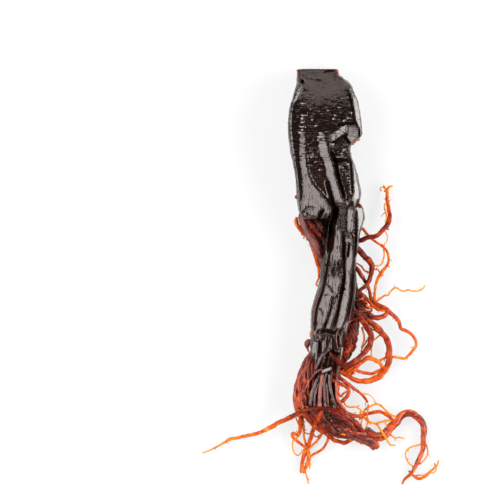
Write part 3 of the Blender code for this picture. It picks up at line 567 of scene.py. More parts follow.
# Rootlets round the tail
LOW_ROOTLETS = {
    "hoop": ((2.2, 2.5), (1.1, 1.0, 1.0), [
        (359.5, 420, 12.4), (362.5, 414, 13), (365.5, 409.3, 12.5), (370.5, 406.2, 11.5),
        (376, 404.3, 11), (380.5, 405.2, 10.5), (384.5, 409.3, 10.5), (388.5, 413.2, 11),
        (392.5, 415.5, 11.2), (398, 417.4, 11)]),
    "pink_arch": ((1.4, 1.7), (1.7, 1.6, 1.8, 1.8, 1.6, 1.4), [
        (344, 416, 20), (352, 416.4, 18), (358, 416.3, 16), (364, 414.5, 14.5), (370, 412.8, 13.5),
        (376, 411.8, 13), (381.5, 412, 12.5), (386, 414.8, 12), (390.5, 418, 12),
        (396.5, 422.4, 10.6)]),
    "drop_strand": ((1.9, 2.3), (1.0, 0.9), [
        (368.4, 404.6, 11), (367.6, 412, 15), (367, 417.5, 14), (368.8, 421.3, 12.5),
        (367, 425.8, 12.5), (364, 433, 14)]),
    "drop_thin": ((2.1, 2.4), (0.9, 0.8), [
        (363.6, 413.4, 14.4), (362.3, 419.5, 13), (360, 427, 14)]),
    "pale_runner": ((2.2, 2.9), (1.4, 1.2, 1.1, 1.1, 1.0, 1.0, 0.8), [
        (360, 412, 15.4), (362.5, 414.5, 14.5), (365.5, 419, 12.5), (369, 422, 11),
        (373, 423, 10), (376.5, 424.5, 9.8), (379, 427.5, 11), (381.5, 431.5, 15.6),
        (384.5, 436, 15.4), (387, 439.8, 12.5), (388.8, 443, 9), (391.3, 445.2, 6),
        (396, 445.6, 4)]),
    "pale_branch": ((2.3, 2.7), (1.1, 1.0), [
        (376, 424.2, 10), (380, 422.5, 10), (384.5, 421.5, 10.2), (388.5, 420.7, 11),
        (395, 419.6, 11)]),
    "pale_twig": ((2.5, 2.8), (0.9, 0.7), [(384.6, 421, 10.3), (386, 424.3, 11), (387.5, 428, 12)]),
    "tail_yellow": ((2.6, 2.8), (0.9, 0.8, 0.8), [
        (424, 444, 6), (417, 445.8, 4.5), (412, 447.2, 4), (407.8, 450, 3.8), (405.8, 454.8, 3.6),
        (407, 460, 3.6), (410, 464.3, 3.8), (415, 468.6, 4.3)]),
    "tail_side": ((2.1, 2.3), (0.8, 0.7), [
        (424.4, 438, 5.4), (427, 446, 4.5), (428.2, 452, 4.2), (427, 457, 4), (424, 461, 4),
        (419.5, 465, 4.4)]),
    "tail_sweep": ((1.7, 2.6), (1.2, 1.3, 1.5, 1.5, 1.3, 1.0, 0.7), [
        (409, 471, 4.2), (412, 474.6, 4), (416.5, 478.4, 3.6), (421, 479, 3.4),
        (425.5, 476.8, 3.4), (428.5, 474, 3.4), (431.5, 471, 3.4), (435, 468.2, 3.3),
        (437.5, 465.5, 3.2), (438.5, 462.5, 3.1), (439.4, 460.4, 3)]),
    "sweep_loop": ((2.5, 2.7), (0.6, 0.6), [
        (429.8, 473, 3.4), (433.8, 473.3, 3), (436.3, 471, 3), (437.2, 466, 3.2)]),
    "sweep_twin": ((2.2, 2.5), (0.8, 0.7), [
        (414, 476.4, 3.8), (420, 475.6, 3.8), (425.5, 475.4, 3.6), (430, 472.6, 3.5)]),
    "yellow_spur": ((2.2, 2.8), (1.4, 1.0, 0.8, 0.6), [
        (386, 432.5, 10), (389.5, 434.5, 9), (392.5, 436.3, 7.5), (395.8, 438.3, 6),
        (398.5, 437.7, 5), (402, 438, 4), (405.3, 439.3, 3)]),
    "under_thin": ((2.0, 2.2), (0.9, 0.9), [
        (349, 436, 9), (356, 441, 6.5), (360.5, 443, 5.5), (365.5, 444.3, 5.5),
        (372, 441, 8)]),
    "right_wrap": ((0.7, 1.0), (2.4, 2.4, 2.6, 2.8, 3.0, 2.8, 2.4), [
        (328, 407.6, 27), (336, 410.3, 27), (342, 413.5, 26), (348, 417.5, 23.6),
        (353.5, 421.5, 20.5), (359, 426.5, 17.6), (363, 433, 15)]),
    "bottom_wrap": ((1.2, 1.6), (2.6, 2.4, 2.2, 2.0, 2.2), [
        (312, 418, 16), (318, 424, 14), (323, 430, 11.5), (329, 436, 9), (335.5, 440.8, 7.5),
        (342.5, 442.5, 7), (349, 441.5, 7.5), (356, 436, 9.6)]),
    "low_wrap": ((0.9, 1.1), (2.8, 2.6, 2.4, 2.4), [
        (308, 413, 19), (314, 418, 20), (320, 424.5, 19), (327, 430, 17.4), (334.5, 434.5, 16),
        (342, 436.5, 15.4), (350, 436.4, 15.4), (358, 436, 15)]),
    "dark_wrap": ((0.3, 0.5), (3.2, 3.2, 3.0), [
        (317, 410, 24.6), (321, 415, 24), (325, 420.6, 23), (329, 426.4, 21.6),
        (334, 431.6, 19.4), (341, 434, 18)]),
    "striped_wrap": ((1.1, 1.3), (3.2, 3.0, 2.7, 2.4), [
        (302, 411, 20), (306, 415, 21), (310.5, 420, 19.6), (315, 425, 17.5),
        (320.8, 429.8, 15), (328, 434, 12.6)]),
    "knot_strand": ((0.5, 0.9), (2.4, 2.5, 2.5, 2.3), [
        (326, 408, 27), (333, 411.6, 28), (340, 416.4, 26.6), (347.5, 421.6, 24.4),
        (353, 427.4, 21.4), (356, 434, 18)]),
    "orange_seam": ((1.8, 2.0), (1.2, 1.2), [
        (326, 422, 22.4), (329.6, 426.4, 22.4), (333.6, 430.4, 21), (338.6, 433, 19.6),
        (346, 434.6, 18.6)]),
    "knot_glint": ((0.1, 0.2), (2.2, 2.8, 2.6, 2.0), [
        (327, 416.4, 24), (331.6, 418.6, 25), (336.6, 421.2, 25), (343, 424.4, 23.4),
        (348.6, 429, 20)]),
}
# Rootlets on the left-hand side and below the tail
LEFT_ROOTLETS = {
    "left_reach": ((0.3, 0.6, 0.8, 1.5, 2.0, 1.9, 2.2, 2.3, 2.7), (
        2.4, 2.2, 2.1, 2.0, 1.9, 2.0, 2.1, 2.3, 2.2, 2.0, 1.8, 1.7, 1.6, 1.5, 1.0, 0.8, 0.7), [
        (336, 410, 26.4), (330, 408.6, 28), (323, 408.3, 29), (316, 408.3, 29),
        (309, 409, 27.6), (303, 410.8, 25), (297, 413.3, 22), (291.5, 416, 19),
        (286.5, 418.8, 16), (280.5, 422, 13.2), (274.5, 425.3, 11), (268.5, 428.5, 9),
        (262.5, 431.5, 7.5), (256.5, 434, 6.5), (250, 435.5, 5.5), (243, 437, 5),
        (236, 438.2, 4.5), (229.5, 439.3, 4), (224, 443, 3.8), (218, 446.5, 3.4),
        (212, 449.5, 3.2), (206.5, 452, 3), (202.2, 453.4, 3)]),
    "reach_twin": ((1.7, 2.2), (1.1, 1.1, 0.9), [
        (303, 412.4, 23.4), (296, 416, 20.4), (291, 418.6, 17.6), (285, 421.4, 14.8),
        (278, 424.6, 11.8)]),
    "left_drop": ((1.5, 2.2), (3.0, 2.5, 2.2, 1.9, 1.7, 1.6, 1.5, 1.4), [
        (300.5, 409, 16), (300.6, 417, 14.4), (300.7, 422, 13), (300.5, 428, 11.2),
        (299.4, 433, 9.5), (296.6, 434.2, 8.8), (293.4, 433.2, 8), (292, 435, 7.5),
        (293.5, 438.2, 7), (297.5, 441.3, 6.5), (302, 444.8, 6), (308, 450, 5.8)]),
    "drop_toe": ((2.1, 2.4), (1.6, 1.0), [
        (299.8, 432, 9.4), (298.3, 436.3, 8), (295.3, 438.6, 7)]),
    "lantern_loop": ((2.6, 2.8), (0.8, 0.7), [
        (294, 438, 7), (292.7, 443.5, 6), (292.8, 449, 5), (294.8, 453.7, 4.5),
        (297.8, 455.7, 4.3), (301, 453.2, 4.5), (305.5, 447.5, 5.4)]),
    "drop_wire": ((1.9, 2.3), (1.2, 1.1), [
        (302.6, 416, 14), (303.4, 424, 12), (303.8, 430, 10), (304, 436, 8), (305.2, 442, 7),
        (306.6, 451, 6)]),
    "centre_drop": ((1.2, 1.9), (2.4, 2.2, 2.2, 2.1, 2.0, 2.0, 2.0, 1.9, 1.5), [
        (323, 407, 27), (320, 413.6, 27), (318, 419, 25), (315.4, 424, 21.6),
        (313.4, 429, 17.6), (311.8, 434, 14), (310.4, 439.4, 10.6), (308.8, 444.4, 8),
        (306.8, 449.5, 6.5), (304.3, 455, 5.5), (302.8, 461, 5), (301.8, 467.5, 4.5),
        (301.2, 473.5, 4.3)]),
    "orange_drop": ((1.9, 2.2), (1.8, 2.2, 2.2, 1.8, 1.0), [
        (306.4, 446.4, 7), (308.4, 453, 5.7), (308.8, 459.4, 5), (307, 465, 4.5),
        (304.8, 470, 4.2), (303.6, 474, 4)]),
    "drop_fork": ((2.2, 2.5), (1.1, 0.8), [(308.8, 457, 5), (309.8, 463.6, 4.3), (309.7, 469, 4)]),
    "toe_wire": ((2.2, 2.7), (1.1, 0.9, 0.7), [
        (304.8, 466, 4.3), (306, 474, 3.5), (307.4, 479, 3), (308.7, 484.4, 2.8)]),
    "right_bow": ((1.6, 2.0), (1.4, 1.4, 1.4, 1.3), [
        (326, 425, 12), (327.4, 431, 10), (328, 436.5, 8.5), (327.2, 441.5, 7.5),
        (325, 446.5, 6.5), (321.5, 450.3, 6), (316.5, 453, 5.5), (312.5, 455.3, 5.3),
        (308.5, 459.6, 5)]),
    "slant": ((1.8, 2.1), (1.3, 1.2), [
        (324, 425, 12), (323, 430, 11), (321.5, 435, 9.5), (318, 439.8, 8.5),
        (313.8, 444.3, 7.5), (307.6, 449.6, 6.6)]),
    "small_vee": ((2.2, 2.4), (0.8, 0.8), [
        (311.6, 430, 13), (315.5, 436.8, 9), (318.5, 436.3, 8.5), (323, 432, 10.6)]),
    "drop_link": ((2.2, 2.2), (0.7, 0.7), [
        (302.6, 431, 10), (307, 433.8, 9.4), (312, 434.4, 12)]),
    "band_hair": ((2.0, 2.4), (0.8, 0.7), [
        (294.5, 414, 16), (297, 420.5, 13), (300, 427.5, 11.5)]),
    "side_flap": ((2.0, 1.4), (1.5, 2.1, 2.2, 1.8, 1.0), [
        (296.5, 217.2, 20), (296, 221.5, 20), (298, 226.5, 20.5), (301, 231, 21.4),
        (305.5, 236.6, 23)]),
    "side_under": ((1.7, 1.9), (1.2, 2.3, 2.4, 2.0, 1.5), [
        (309, 237, 20), (311, 243, 18), (314, 250, 17), (316, 257, 16.5), (318, 264, 16),
        (319.3, 271, 15.5), (319.4, 279, 15)]),
    "side_curl": ((1.9, 2.2), (1.1, 0.9, 0.8), [
        (319.4, 277, 15), (317.4, 281.6, 13.8), (316.2, 284, 13.2), (318.4, 286.2, 12.6),
        (323, 286.6, 12.6)]),
    "lobe_root": ((0.6, 0.7), (1.9, 1.9, 1.7), [
        (307, 217, 31), (309, 222, 31), (312.5, 228, 30), (316.5, 232.5, 29), (322, 237, 27)]),
    "lobe_root_right": ((0.4, 0.5), (1.8, 1.7, 1.5), [
        (314, 218, 32), (316.4, 221.6, 31), (319, 226.5, 30), (323, 232, 28)]),
    "pale_chip": ((2.4, 2.8), (0.9, 0.8, 0.5), [
        (359.6, 204.4, 33), (361.4, 206.4, 32), (363.4, 209.2, 30)]),
    "pale_spot": ((2.5, 2.7), (0.7, 0.6), [(352, 233.6, 39), (354, 236.4, 38.6)]),
    "crown_nub": ((0.9, 1.5), (2.4, 2.2), [(302, 197, 20), (298.6, 197, 19.8), (294.8, 197.2, 19)]),
    "nub_toe": ((1.6, 2.1), (1.4, 0.9), [
        (307, 346.4, 14.6), (307.6, 349, 14), (308.6, 352, 13.5)]),
    "left_chip": ((1.9, 2.2), (1.1, 0.9), [
        (313, 328, 16.4), (310.8, 332.6, 14.4), (310.2, 337, 14)]),
}
# Roots in the tangle right of the trunk, and the bed that they lie on
TANGLE_ROOTLETS = {
    "tangle_bed": ((0.2, 0.5), (3.4, 5.0, 5.4, 4.6), [
        (351, 283, 17), (354.6, 294, 18), (358.6, 305, 18.6), (362, 315, 18)]),
    "tangle_bed_low": ((0.3, 0.6), (4.0, 4.6, 4.0), [
        (351, 311, 19), (358, 315.4, 20), (366, 317, 19)]),
    "tangle_high": ((0.4, 0.9, 1.7), (2.4, 2.3, 2.1, 1.8, 1.4, 1.1), [
        (350, 288, 26), (357, 291, 26.4), (361.5, 294.5, 26), (366, 298, 24), (369.5, 302, 22),
        (371.5, 306.5, 20.5), (371, 312, 20)]),
    "tangle_low": ((0.3, 0.6), (2.0, 1.9, 1.8), [
        (345, 320, 28), (352, 319.4, 28.6), (357.5, 317.5, 28.6), (363, 315, 27), (370, 311, 24)]),
    "tangle_mid": ((0.3, 0.8), (1.5, 1.3), [
        (352, 294, 28), (355, 298, 28), (358, 303, 27.5), (359.6, 307.5, 27), (364, 311, 25)]),
    "tangle_orange": ((1.8, 2.1), (1.3, 1.2), [
        (361, 298, 25), (363.4, 301.4, 24), (366, 305, 22.5), (371, 308.6, 20.6)]),
    "tangle_back": ((0.2, 0.5), (1.7, 1.6), [
        (346, 311, 31), (352, 312.4, 31), (358, 312, 29.6), (365, 310.4, 26)]),
    "tangle_dark": ((0.1, 0.3), (2.6, 2.4, 1.8), [
        (349, 296, 28), (352, 303, 29), (353, 311, 29), (350, 320, 28)]),
    "tangle_loop": ((1.6, 1.9), (0.9, 0.9), [
        (355, 300, 29), (362, 299, 27.6), (366, 302.6, 26), (364.6, 308, 25), (358.6, 310.6, 28)]),
}
# Thin roots that lie on the waist and the tail
MIDDLE_ROOTLETS = {
    "tail_rib_a": ((0.0, 0.1), (1.4, 1.8, 1.7, 1.5), [
        (320, 372, 28), (317, 379, 29.6), (314, 386, 30), (311.6, 394, 29.6), (310, 402, 28.6),
        (311, 409, 26)]),
    "tail_rib_b": ((0.1, 0.3), (1.1, 1.2, 1.0), [
        (319, 383, 29.6), (316, 390, 30.4), (314.2, 398, 30), (314.4, 408, 28)]),
    "tail_rib_c": ((0.8, 1.1), (1.5, 2.0, 1.9, 1.7), [
        (322, 371, 29.4), (321.7, 379, 31), (320.6, 386, 31.4), (319.8, 394, 31.2),
        (319.6, 402, 30.4), (320.4, 410, 28)]),
    "tail_rib_d": ((0.4, 0.5), (1.2, 1.5, 1.4), [
        (326, 372, 29.4), (324, 380, 31), (323.8, 388, 31), (324.3, 397, 30.6), (325, 408, 28.6)]),
    "tail_rib_e": ((0.0, 0.2), (1.3, 1.6, 1.5, 1.3), [
        (329, 374, 30), (329.2, 383, 31), (330.8, 391, 30.8), (332.6, 399, 29.8), (336, 407, 28)]),
    "tail_rib_f": ((0.3, 0.4), (1.0, 1.0), [
        (326.4, 383, 30), (327, 392, 30.8), (327.4, 401, 30), (328, 407, 28.6)]),
    "tail_rib_g": ((1.2, 1.4), (1.3, 1.6, 1.4), [
        (335.6, 380, 27), (336.2, 388, 28.4), (337, 396, 28), (339.6, 402.6, 27), (345.4, 410, 24)]),
    "cross_tail": ((0.5, 0.6), (1.3, 1.4, 1.3, 1.0), [
        (322, 368.6, 35), (317.6, 370.6, 34), (313.6, 374, 32), (310, 379, 29.4), (306.6, 383, 27)]),
    "waist_vee": ((0.05, 0.3), (1.5, 1.6, 1.5), [
        (329, 348, 34.6), (325, 352.4, 35.6), (320.8, 357, 35.4), (317.6, 362.6, 34), (315, 370, 31.6)]),
    "tail_filler": ((0.5, 0.7), (2.6, 2.6, 2.2), [(336, 364, 18), (343, 369.4, 17), (351, 371, 16)]),
    "pale_thread": ((0.3, 0.6, 0.4), (0.7, 0.6), [
        (351, 320.6, 32), (344.5, 324.5, 35.6), (339.5, 328.5, 36.6), (336.5, 333.5, 36.4),
        (336, 340, 35.6), (337.4, 349, 33.6)]),
}

# How far out a root is flattened on its upper left, as a share of its half-width
FLAT = 0.94
FLATTENED = {"tail_rib_a": 0.5, "tail_rib_b": 0.5, "tail_rib_c": 0.55, "tail_rib_d": 0.6,
             "tail_rib_e": 0.5, "tail_rib_f": 0.6, "tail_rib_g": 0.7, "knot_glint": 0.5,
             "pale_thread": 0.6, "waist_vee": 0.6, "tangle_high": 0.7, "tangle_mid": 0.7,
             "side_root": 0.84, "inner_loop": 0.84, "big_arc": 0.8, "right_wrap": 0.86}

# Short frayed fibres: the line they grow from, how many and their length in squares
FRINGES = [
    ([(297, 70, 31), (298, 75, 32.4), (298.6, 80, 34)], 40, 1.7),
    ([(334, 70.2, 32), (336.6, 72, 32), (338, 76.5, 33)], 50, 1.7),
    ([(350, 145.5, 34), (354, 143, 35), (359, 139.6, 34)], 30, 2.0),
    ([(350.4, 143, 46), (354.4, 141, 46.6), (358.6, 137.6, 45.6)], 24, 1.9),
    ([(356, 202, 36), (359, 205.6, 33), (362, 208.6, 30)], 22, 1.8),
    ([(300, 227, 22), (303, 236, 21), (308, 240, 20)], 10, 3.0),
    ([(297, 216, 22), (296, 224, 20)], 12, 1.8),
    ([(302, 196, 22), (296, 197, 19)], 6, 1.4),
]
FACET = np.array([-0.34, 0.0, 0.94])  # which way the flattened side of a root looks
STRETCH_PER_WIDTH = 0.55  # length of a tube's stretches, in half-widths
SHORTEST_STRETCH = 0.62
SIDES = ((5.0, 26), (2.6, 18), (1.4, 12), (0.0, 8))  # half-width above which a tube has so many sides
CLEAR_OF_FLOOR = 0.05  # no root lies lower
TWIG_SPACING = 11.0  # squares between the small twigs on a rootlet
THICKEST_WITH_TWIGS = 3.2  # half-width above which a rootlet has none
STRANDS_IN_TANGLE = 26
TANGLE_START = np.array([351.0, 287.0, 24.0])  # upper end of the tangle's middle line
TANGLE_REACH = np.array([13.0, 29.0, 0.0])  # from there to its lower end


# Routes and heights

def reading(table, y, column):
    """Reads one column of a table, in straight lines between its rows."""
    rows = np.array(table, float)
    return np.interp(y, rows[:, 0], rows[:, column])


def smooth_route(points, step):
    """Points about a step apart on the smooth curve through the drawn ones."""
    points = np.array(points, float)
    ends = np.vstack([2 * points[0] - points[1], points, 2 * points[-1] - points[-2]])
    found = []
    for i in range(1, len(ends) - 2):
        a, b, c, d = ends[i - 1:i + 3]
        count = max(1, round(float(np.linalg.norm(c - b)) / step))
        for t in np.arange(count) / count:
            found.append(0.5 * (2 * b + (c - a) * t + (2 * a - 5 * b + 4 * c - d) * t ** 2
                                + (3 * b - a - 3 * c + d) * t ** 3))
    return np.array(found + [points[-1]])


def distance_to(places, line):
    """How far each place lies from a line, and how far along the line, as a share, it is nearest."""
    line = smooth_route(line, 1.5)
    lengths = np.linalg.norm(np.diff(line, axis=0), axis=1)
    reached = np.concatenate([[0], np.cumsum(lengths)])
    nearest = np.full(len(places), np.inf)
    share = np.zeros(len(places))
    for i, length in enumerate(lengths):
        piece = line[i + 1] - line[i]
        t = np.clip((places - line[i]) @ piece / length ** 2, 0, 1)
        away = np.linalg.norm(places - line[i] - t[:, None] * piece, axis=1)
        closer = away < nearest
        nearest[closer] = away[closer]
        share[closer] = (reached[i] + t[closer] * length) / reached[-1]
    return nearest, share


def loft_height(x, y):
    """Height of the upper side before its folds: the crown's or the trunk's, whichever is higher."""
    found = np.zeros(len(x))
    for edges, tops, box in LOFTS:
        left, right, top = reading(edges, y, 1), reading(edges, y, 2), reading(tops, y, 1)
        share = (2 * x - left - right) / (right - left)
        power = np.where(share < 0, reading(box, y, 1), reading(box, y, 2))
        height = top / (1 - SUNK_SHARE) / 2
        oval = np.clip(1 - np.abs(share) ** power, 0, 1) ** (1 / power)
        inside = (np.abs(share) < 1) & (y >= edges[0][0]) & (y <= edges[-1][0])
        found = np.maximum(found, np.where(inside, top - height + height * oval, 0))
    return found


class SkinField:
    """What the skin is like at places on the sheet: how far it rises, how much dark shade is painted
    into its creases and drops, where it is calm, with no ripples, and where it is wet."""

    def __init__(self, places):
        self.places = places
        self.x, self.y = places.T
        self.base = loft_height(self.x, self.y)
        self.rise, self.dull, self.calm, self.wet = np.zeros((4, len(places)))
        self.sheet = np.column_stack([self.x, self.y, 0 * self.x])
        self.comb = noise_at(self.sheet, (0.30, 1.05, 1), 33)
        self.add_folds()
        self.add_planes()
        self.add_flap()
        self.add_straps()
        self.add_glints()
        self.dull = np.clip(self.dull, 0, 1)

    def settle(self, calm, wet):
        """Makes the skin at least as calm and as wet as this."""
        self.calm = np.maximum(self.calm, calm)
        self.wet = np.maximum(self.wet, wet)

    def add_folds(self):
        """Ridges and grooves along their lines, with dark shade painted into each groove as far as it
        sinks.
        """
        for reach, height, line in FOLDS:
            points = np.array(line, float)
            margin = 3.2 * reach
            near = np.all((self.places > points.min(0) - margin)
                          & (self.places < points.max(0) + margin), axis=1)
            if not near.any():
                continue
            away, share = distance_to(self.places[near], line)
            fade = np.clip(np.minimum(share, 1 - share) * 7 + 0.35, 0, 1)
            raised = height * fade * np.exp(-(away / reach) ** 2)
            self.rise[near] += raised
            self.dull[near] += np.clip(-raised / SHADED_DEPTH, 0, 1)

    def add_planes(self):
        """Planes that end in a drop, with dark shade painted beyond the drop and along their left foot.
        Where they are wide, their sides are ragged.
        """
        x, y = self.x, self.y
        ragged_sides = [0.9 * noise_at(self.sheet, (0.14, 0.42, 1), seed) + 1.5 * self.comb
                        for seed in (31, 32)]
        shoulder = reading(CROWN_TOP, SHOULDER, 1) - reading(CROWN_TOP, np.minimum(y, SHOULDER), 1)
        for drop, sink, shine, rows in PLANES:
            down, *columns = np.array(rows, float).T
            edge, width, slope = (np.interp(y, down, column) for column in columns)
            foot = loft_height(edge - width, y) - sink + 0.5 * shoulder
            top = foot + slope * width - loft_height(edge, y)
            plane = foot + slope * (x - edge + width) - self.base
            ragged = np.clip((width - 5.4) / 1.5, 0, 1) * (slope > 0)
            past = x - edge - ragged_sides[0] * ragged
            before = x - edge + width + ragged_sides[1] * ragged
            dropping = np.maximum(top, 0) * np.exp(-(np.maximum(past, 0) / drop) ** 2)
            raised = np.where(past < 0, plane * np.clip(before + 0.5, 0, 1), dropping)
            ends = np.clip(np.minimum(y - down[0], down[-1] - y) / 3, 0, 1)
            self.rise += raised * ends
            within = ends * np.clip(np.minimum(before, -past), 0, 1)
            self.settle(within, shine * within)
            # painted shadow beyond the drop, and along the left foot where the plane rises from the skin
            # beside it
            shadow = np.where(past > 0, np.exp(-(np.maximum(past - 0.4, 0) / (1.2 * drop)) ** 2), 0)
            beside = loft_height(edge - width - 2, y) > 0
            shadow += 0.6 * np.exp(-((before + 0.8) / 0.8) ** 2) * beside
            self.dull += ends * shadow * (slope > 0)

    def add_flap(self):
        """The smooth flap above the notch, which leans more further down."""
        x, y = self.x, self.y
        left, right = FLAP_SIDES
        upper, lower = FLAP_ENDS
        drift = FLAP_DRIFT * (y - 126)
        inside = np.clip(np.minimum(x - left - drift, right - x) / 1.2, 0, 1)
        inside = inside * np.clip((y - upper) / 2, 0, 1) * np.clip((lower - y) / 1.5, 0, 1)
        lean = 0.24 + 0.12 * np.clip((y - 127) / 8, 0, 1)
        flap = loft_height(0 * x + FLAP_FOOT, y) - 1.2 + lean * (x - FLAP_FOOT) + drift - self.base
        self.rise += flap * inside
        self.settle(inside, 0.2 * inside * np.clip((y - 130) / 8, 0, 1))

    def add_straps(self):
        """Straps that cross what lies below them."""
        x, y = self.x, self.y
        for (left, down), (right, low), half, lift, strokes in STRAPS:
            middle = down + (low - down) * (x - left) / (right - left)
            strap = np.clip(np.minimum(x - left, right - x) + 0.5, 0, 1)
            strap = strap * np.clip(half - np.abs(y - middle) + 0.5, 0, 1)
            self.rise += strap * (lift + TILT * (x - left) - self.rise)
            self.settle(strap, 0.8 * strap)
            # the strap's strokes take the dark, matte painted crease shade
            self.dull = self.dull * (1 - strap) + strap * strokes * np.clip(5 * self.comb - 0.5, 0, 1)

    def add_glints(self):
        """Small wet facets that lean to the light."""
        x, y = self.x, self.y
        for left, right, down, half in GLINTS:
            spot = np.clip(np.minimum(x - left, right - x) * 2, 0, 1) * (np.abs(y - down) < half + 0.4)
            self.rise += TILT * (x - left) * spot
            self.settle(spot, spot)
            self.dull = self.dull * (1 - spot)


def spots(x, y, table):
    """The sum of soft spots on the sheet."""
    total = np.zeros(len(x))
    for (across, down), (wide, high), strength in table:
        total += strength * np.exp(-(((x - across) / wide) ** 4 + ((y - down) / high) ** 4))
    return total


def crown_ripples(squares):
    """Where the crown has ripples, how far its ripples rise, and the specks that the skin has too."""
    x, y, _ = squares.T
    sheen_end = SHEEN_END - 17 * ((x - 322) / 24) ** 2
    where = np.clip((y - sheen_end + 9) / 20, 0.06, 1) * np.clip((RIPPLES_END - y) / 14, 0, 1)
    for spot in SMOOTH_SPOTS:
        where *= 1 - spots(x, y, [spot])
    phase = noise_at(squares, (0.10, 0.10, 0.05), 4)
    ripples = np.sin(2 * math.pi * (y / 2.9 + 1.6 * phase)) * np.clip(
        0.2 + 3.0 * noise_at(squares, (0.19, 0.12, 0.05), 5), 0, 1)
    broken = 1 - 2.4 * np.abs(noise_at(squares, (0.24, 0.40, 0.1), 6))
    specks = noise_at(squares, (0.46, 0.60, 0.3), 7)
    left_column = np.exp(-((x - 304) / 7) ** 2) * np.exp(-((y - 122) / 16) ** 4)
    deep_ripples = np.sin(2 * math.pi * (y / 5.0 + 0.8 * phase)) * left_column
    rise = where * (0.40 * ripples + 0.25 * broken + 0.55 * specks + 0.6 * deep_ripples)
    return where, rise, specks


def patch_field(places):
    """How brown or red the skin is at places on the sheet."""
    total = np.zeros(len(places))
    for reach, strength, line in WARM_PATCHES:
        away, _ = distance_to(places, line)
        total = np.maximum(total, strength * np.exp(-(away / reach) ** 2))
    return total


def noise_at(points, stretch, seed):
    """Smooth noise from -1 to 1 at each point, which stretch scales first."""
    offset = Vector((seed * 17.3, seed * 5.1, seed * 9.7))
    stretched = np.asarray(points) * np.asarray(stretch)
    return np.array([noise.noise(Vector(point) + offset) for point in stretched])


# Meshes

def next_ring(bm, ring, places):
    """Extrudes a closed ring of vertices and moves the new ring to its places, in the same order."""
    edges = [bm.edges.get((ring[k - 1], ring[k])) for k in range(len(ring))]
    grown = bmesh.ops.extrude_edge_only(bm, edges=edges)["geom"]
    members = set(ring)
    partner = {}
    for vert in grown:
        if isinstance(vert, bmesh.types.BMVert):
            for edge in vert.link_edges:
                other = edge.other_vert(vert)
                if other in members:
                    partner[other] = vert
    following = [partner[vert] for vert in ring]
    for vert, at in zip(following, places):
        vert.co = at
    return following


def skin_over(rings, facts=None):
    """A closed mesh over rings of places in metres. Facts name values to keep for each ring's points."""
    bm = bmesh.new()
    layers = {name: bm.verts.layers.float.new(name) for name in (facts or {})}
    sides = len(rings[0])
    ring = list(bmesh.ops.create_circle(bm, segments=sides, radius=1.0)["verts"])
    for vert, at in zip(ring, rings[0]):
        vert.co = np.clip(at, *CAD_BOX)
    every = [ring]
    for places in rings[1:]:
        ring = next_ring(bm, ring, np.clip(places, *CAD_BOX))
        every.append(ring)
    for name, layer in layers.items():
        for verts, values in zip(every, facts[name]):
            for vert, value in zip(verts, values):
                vert[layer] = value
    bmesh.ops.holes_fill(bm, edges=[edge for edge in bm.edges if edge.is_boundary])
    bmesh.ops.recalc_face_normals(bm, faces=bm.faces)
    return bm


def as_object(bm, name):
    """Puts a mesh in the scene as an object."""
    mesh = bpy.data.meshes.new(name)
    bm.to_mesh(mesh)
    bm.free()
    made = bpy.data.objects.new(name, mesh)
    bpy.context.scene.collection.objects.link(made)
    return made


def join_as(objects, name):
    """Joins objects in one, which takes the name."""
    bpy.ops.object.select_all(action="DESELECT")
    for item in objects:
        item.select_set(True)
    bpy.context.view_layer.objects.active = objects[0]
    bpy.ops.object.join()
    joined = bpy.context.view_layer.objects.active
    joined.name = name
    joined.data.name = name
    return joined


def apply_modifier(item, kind, **settings):
    """Adds a modifier with its settings and applies it."""
    modifier = item.modifiers.new(kind.lower(), kind)
    for name, value in settings.items():
        setattr(modifier, name, value)
    bpy.context.view_layer.objects.active = item
    bpy.ops.object.modifier_apply(modifier=modifier.name)


def put_in_frame(piece, material):
    """Every piece rides on the root's body, stands for its solid and takes its finish."""
    piece.data.materials.clear()
    piece.data.materials.append(material)
    piece.data.shade_smooth()
    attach(piece, BODY)
    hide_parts(NODE)


def body_loft(name, edges, tops, box):
    """The crown or the trunk before its folds: sections of a boxy oval with a flat underside."""
    first, last = edges[0][0], edges[-1][0]
    downs = np.linspace(first, last, round((last - first) / SECTION_STEP) + 1)
    angles = np.arange(SECTION_POINTS) / SECTION_POINTS * 2 * math.pi
    across, rise = np.cos(angles), np.sin(angles)
    rings = []
    for y in downs:
        power = 2 / np.where(across < 0, reading(box, y, 1), reading(box, y, 2))
        left, right, top = reading(edges, y, 1), reading(edges, y, 2), reading(tops, y, 1)
        height = top / (1 - SUNK_SHARE) / 2
        x = (left + right) / 2 + (right - left) / 2 * np.sign(across) * np.abs(across) ** power
        z = np.maximum(top - height + height * np.sign(rise) * np.abs(rise) ** power, 0.0)
        rings.append(to_metres(np.column_stack([x, np.full_like(x, y), z])))
    return as_object(skin_over(rings), name)


def route_frames(route):
    """Two directions across each point of a route, which turn as little as they can."""
    along = np.gradient(route, axis=0)
    along /= np.linalg.norm(along, axis=1)[:, None]
    side = np.cross(along[0], (0, 0, 1))
    if np.linalg.norm(side) < 0.1:
        side = np.cross(along[0], (0, 1, 0))
    sides = []
    for direction in along:
        side = side - direction * (side @ direction)
        side = side / np.linalg.norm(side)
        sides.append(side)
    sides = np.array(sides)
    return along, sides, np.cross(along, sides)


